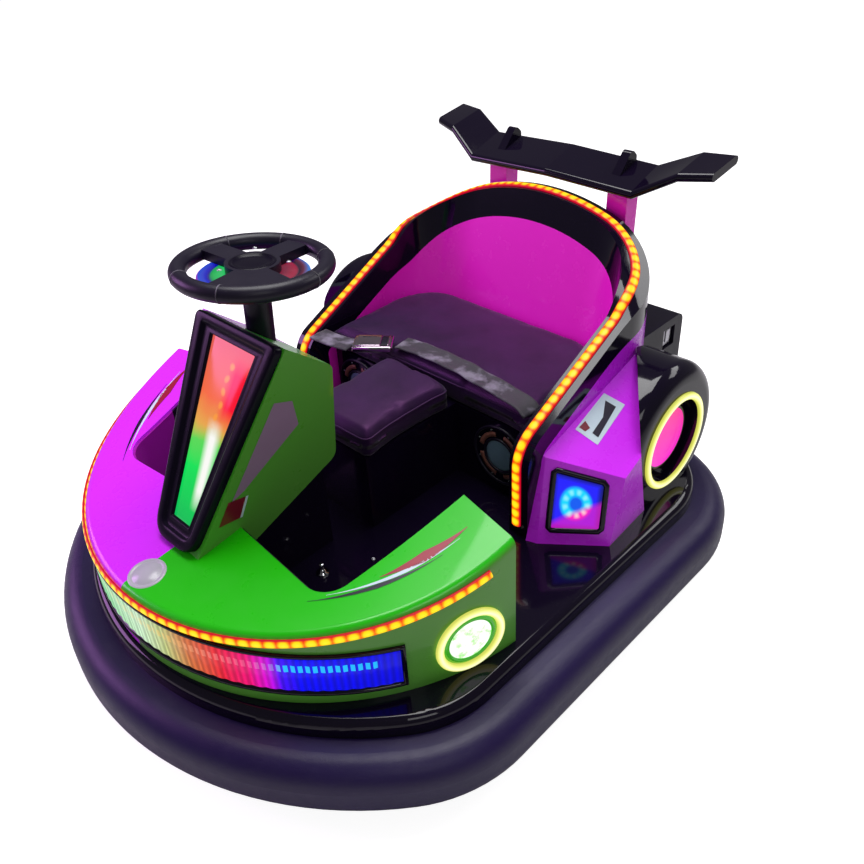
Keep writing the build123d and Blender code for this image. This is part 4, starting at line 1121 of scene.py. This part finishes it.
# Foot switch: a base plate, a nut and a toggle
toggle_profile = (
    (0.0, 0.0), (0.0118, 0.0), (0.0118, 0.0022), (0.0072, 0.0026), (0.0072, 0.0075), (0.0048, 0.0085),
    (0.0034, 0.0120), (0.0036, 0.0150), (0.0052, 0.0180), (0.0054, 0.0200), (0.0036, 0.0219), (0.0, 0.0219),
)
made = piece("foot_toggle", lathe(at(104, -236, deck_z), up, toggle_profile, 32), "switch_chrome")
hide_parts("foot_switch")

# Latches on the tail box, screws on the deck and on the tail box
latches = []
for side in (1, -1):
    spot = at(side * 292, 598, 388)
    latches.append(block((0.006, 0.034, 0.038), spot, 0.002))
    latches.append(block((0.005, 0.016, 0.03), spot + Vector((side * 0.003, 0, 0.004)), 0.0018))
piece("tail_latches", joined(*latches), "pad_silver")
deck = surface_of(nodes["base_pan"])
for side in (1, -1):
    for x, y in ((310, -60), (330, 20), (305, 60), (150, -150), (240, -120)):
        hit, _, _, _ = deck.ray_cast(at(side * x, y, 400), down, 0.4)
        if hit:
            heads.append(screw_head(hit, up))
tail = surface_of(nodes["tail_box"])
for x in (-250, -125, 0, 125, 250):
    hit, normal, _, _ = tail.ray_cast(at(x, 900, 330), -lengthwise, 0.6)
    if hit:
        heads.append(screw_head(hit, normal))
piece("screw_heads", joined(*heads), "zinc_steel")


# ---- plain decals, nose cap and console frame

def drawn(prefix, surface, anchor, towards, rows):
    """Decals on both sides of the kart, each from corners in millimetres on its left side."""
    for label, material, lift, corners in rows:
        outline = seen_from([at(*p) for p in corners], anchor, towards, lengthwise)
        decal(f"{prefix}_{label}", outline, surface, anchor, towards, lengthwise, material, lift, twin=True)


drawn("console", surface_of(nodes["console_left"]), at(200, -330, 420), -sideways, (
    ("band", "band_pale", 0.0005, (
        (100, -366, 420), (100, -268, 574), (100, -232, 560), (100, -222, 506), (100, -340, 430))),
    ("chevron", "band_maroon", 0.0005, (
        (100, -396, 382), (100, -372, 424), (100, -338, 416), (100, -354, 376))),
    ("edge", "flash_pale", 0.0005, ((100, -354, 376), (100, -338, 416), (100, -333, 415), (100, -349, 375))),
))
pod_slope = Vector((-0.429, 0.248, -0.869)).normalized()
drawn("pod", surface_of(nodes["side_pods"]), at(368, 258, 372) - pod_slope * 0.05, pod_slope, (
    ("panel", "flash_pale", 0.0005, ((341, 300, 414), (382, 312, 400), (392, 212, 366), (346, 204, 384))),
    ("slash", "flash_black", 0.0009, (
        (352, 290, 408), (372, 296, 398), (384, 224, 372), (372, 222, 378), (366, 262, 388))),
    ("bar", "band_maroon", 0.0009, ((350, 230, 392), (364, 226, 384), (362, 214, 382), (349, 212, 386))),
))
cowl = surface_of(nodes["front_cowl_left"], nodes["front_cowl_right"])
hit, normal, _, _ = cowl.ray_cast(at(14, -512, 600), down, 0.5)
nose_profile = (
    (0.0, 0.0012), (0.024, 0.0012), (0.0245, 0.0006), (0.0265, 0.0006), (0.027, 0.0013), (0.0315, 0.0012),
    (0.033, -0.0004),
)
piece("nose_cap", lathe(hit, normal, nose_profile), "nose_blank")


def border(share, inset, out):
    """A loop between the console frame's outer outline (share 0) and the display's outline (share 1)."""
    foot = between(0.046, glass_foot, share) + inset
    head = between(0.4285, glass_head, share) - inset
    low = between(0.0535, glass_half_low, share) - inset
    high = between(0.1095, glass_half_high, share) - inset
    chin, brow = max(0.034 * (1 - share), 0.002), max(0.014 * (1 - share), 0.002)
    corners = [(Vector((low, foot)), chin), (Vector((high, head)), brow)]
    corners += [(Vector((-high, head)), brow), (Vector((-low, foot)), chin)]
    loop = []
    for i, (here, radius) in enumerate(corners):
        following, next_radius = corners[(i + 1) % 4]
        before, after = (corners[i - 1][0] - here).normalized(), (following - here).normalized()
        for k in range(9):
            t = k / 8
            loop.append(here + before * radius * (1 - t) ** 2 + after * radius * t ** 2)
        start = here + after * radius
        loop += [start.lerp(following - after * next_radius, k / 12) for k in range(1, 12)]
    return [on_panel(spot.x, spot.y, out) for spot in loop]


# Each step of the frame: share, inset, height
steps = (
    (0, 0, 0.0002), (0, 0, 0.0125), (0, 0.0012, 0.015), (0, 0.0035, 0.0159), (0.42, 0, 0.0157),
    (0.5, 0, 0.0146), (0.55, 0, 0.011), (0.62, 0, 0.0098), (0.86, 0, 0.0096), (0.92, 0, 0.0102),
    (0.97, 0, 0.0098), (1.0, 0, 0.0046),
)
frame_border = between_loops([border(*step) for step in steps])
made = piece("console_border", frame_border, "border_black")
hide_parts("console_frame")

# The liner's side walls take the colour of the cowl above them
m = Shade("liner_walls")
place = m.parts(m.coords())
black = m.ramp(m.noise(30, 4), (0.3, 10, 6, 20), (0.7, 22, 10, 34))
wall = (place[0] < -0.16) * (place[1] < -0.27)
m.set(Base_Color=m.mix(wall, black, rgb(150, 22, 150)), Roughness=0.3)
m.bump(m.noise(400, 3), 0.05)
dress("cockpit_liner", "liner_walls")


# ---- studio

m = Shade("floor")
m.tree.nodes.remove(m.body)
matt = m.node("ShaderNodeBsdfDiffuse", {"Color": (0.62, 0.61, 0.62)})
bright = m.node("ShaderNodeEmission", {"Strength": m.ray("Camera") * 0.86})
both = m.node("ShaderNodeAddShader", {0: matt, 1: bright})
m.put(m.tree.nodes["Material Output"].inputs["Surface"], both)
floor_data = bpy.data.meshes.new("floor")
floor_data.from_pydata([(-60, -60, 0), (60, -60, 0), (60, 60, 0), (-60, 60, 0)], [], [(0, 1, 2, 3)])
floor_data.materials.append(m.material)
floor = placed("floor", floor_data)

world = bpy.data.worlds.new("studio")
scene.world = world
world.use_nodes = True
sky = Nodes(world.node_tree)
backdrop = sky.tree.nodes["Background"]
sky.put(backdrop.inputs["Color"], (1, 1, 1))
sky.put(backdrop.inputs["Strength"], sky.ray("Camera") * 0.78 + (sky.ray("Glossy") * -0.1 + 0.24))


def lamp(name, place, target, size, power, colour=(1, 1, 1)):
    """A soft rectangular studio lamp."""
    data = bpy.data.lights.new(name, "AREA")
    data.shape = "RECTANGLE"
    data.size, data.size_y = size
    data.energy = power
    data.color = colour
    made = placed(name, data)
    made.location = place
    made.rotation_euler = (Vector(target) - Vector(place)).to_track_quat("-Z", "Y").to_euler()


lamp("top", (-0.3, 0.5, 3.4), (0, 0, 0.3), (2.2, 1.8), 112)
lamp("key", (2.2, -1.2, 2.2), (0, 0, 0.3), (0.9, 0.9), 8)
lamp("fill", (-2.6, -1.8, 1.6), (0, 0, 0.3), (1.6, 1.2), 44, (0.8, 0.36, 1.0))
lamp("rear", (1.2, 2.8, 2.4), (0, 0, 0.4), (2.0, 0.8), 26)

# Camera, solved from the photograph
eye = at(1092.3, -885.38, 1298.65)
goal = at(61.73, 108.77, 298.89)
roll = -0.064396
ahead = (goal - eye).normalized()
right = ahead.cross(up).normalized()
above = right.cross(ahead)
turned_right = right * cos(roll) + above * sin(roll)
turned_up = above * cos(roll) - right * sin(roll)
camera_data = bpy.data.cameras.new("camera")
camera_data.lens = 857.947 / 864 * 36
camera_data.sensor_width = 36
camera = placed("camera", camera_data)
camera.matrix_world = Matrix.Translation(eye) @ Matrix((turned_right, turned_up, -ahead)).transposed().to_4x4()
scene.camera = camera
scene.view_settings.view_transform = "Standard"
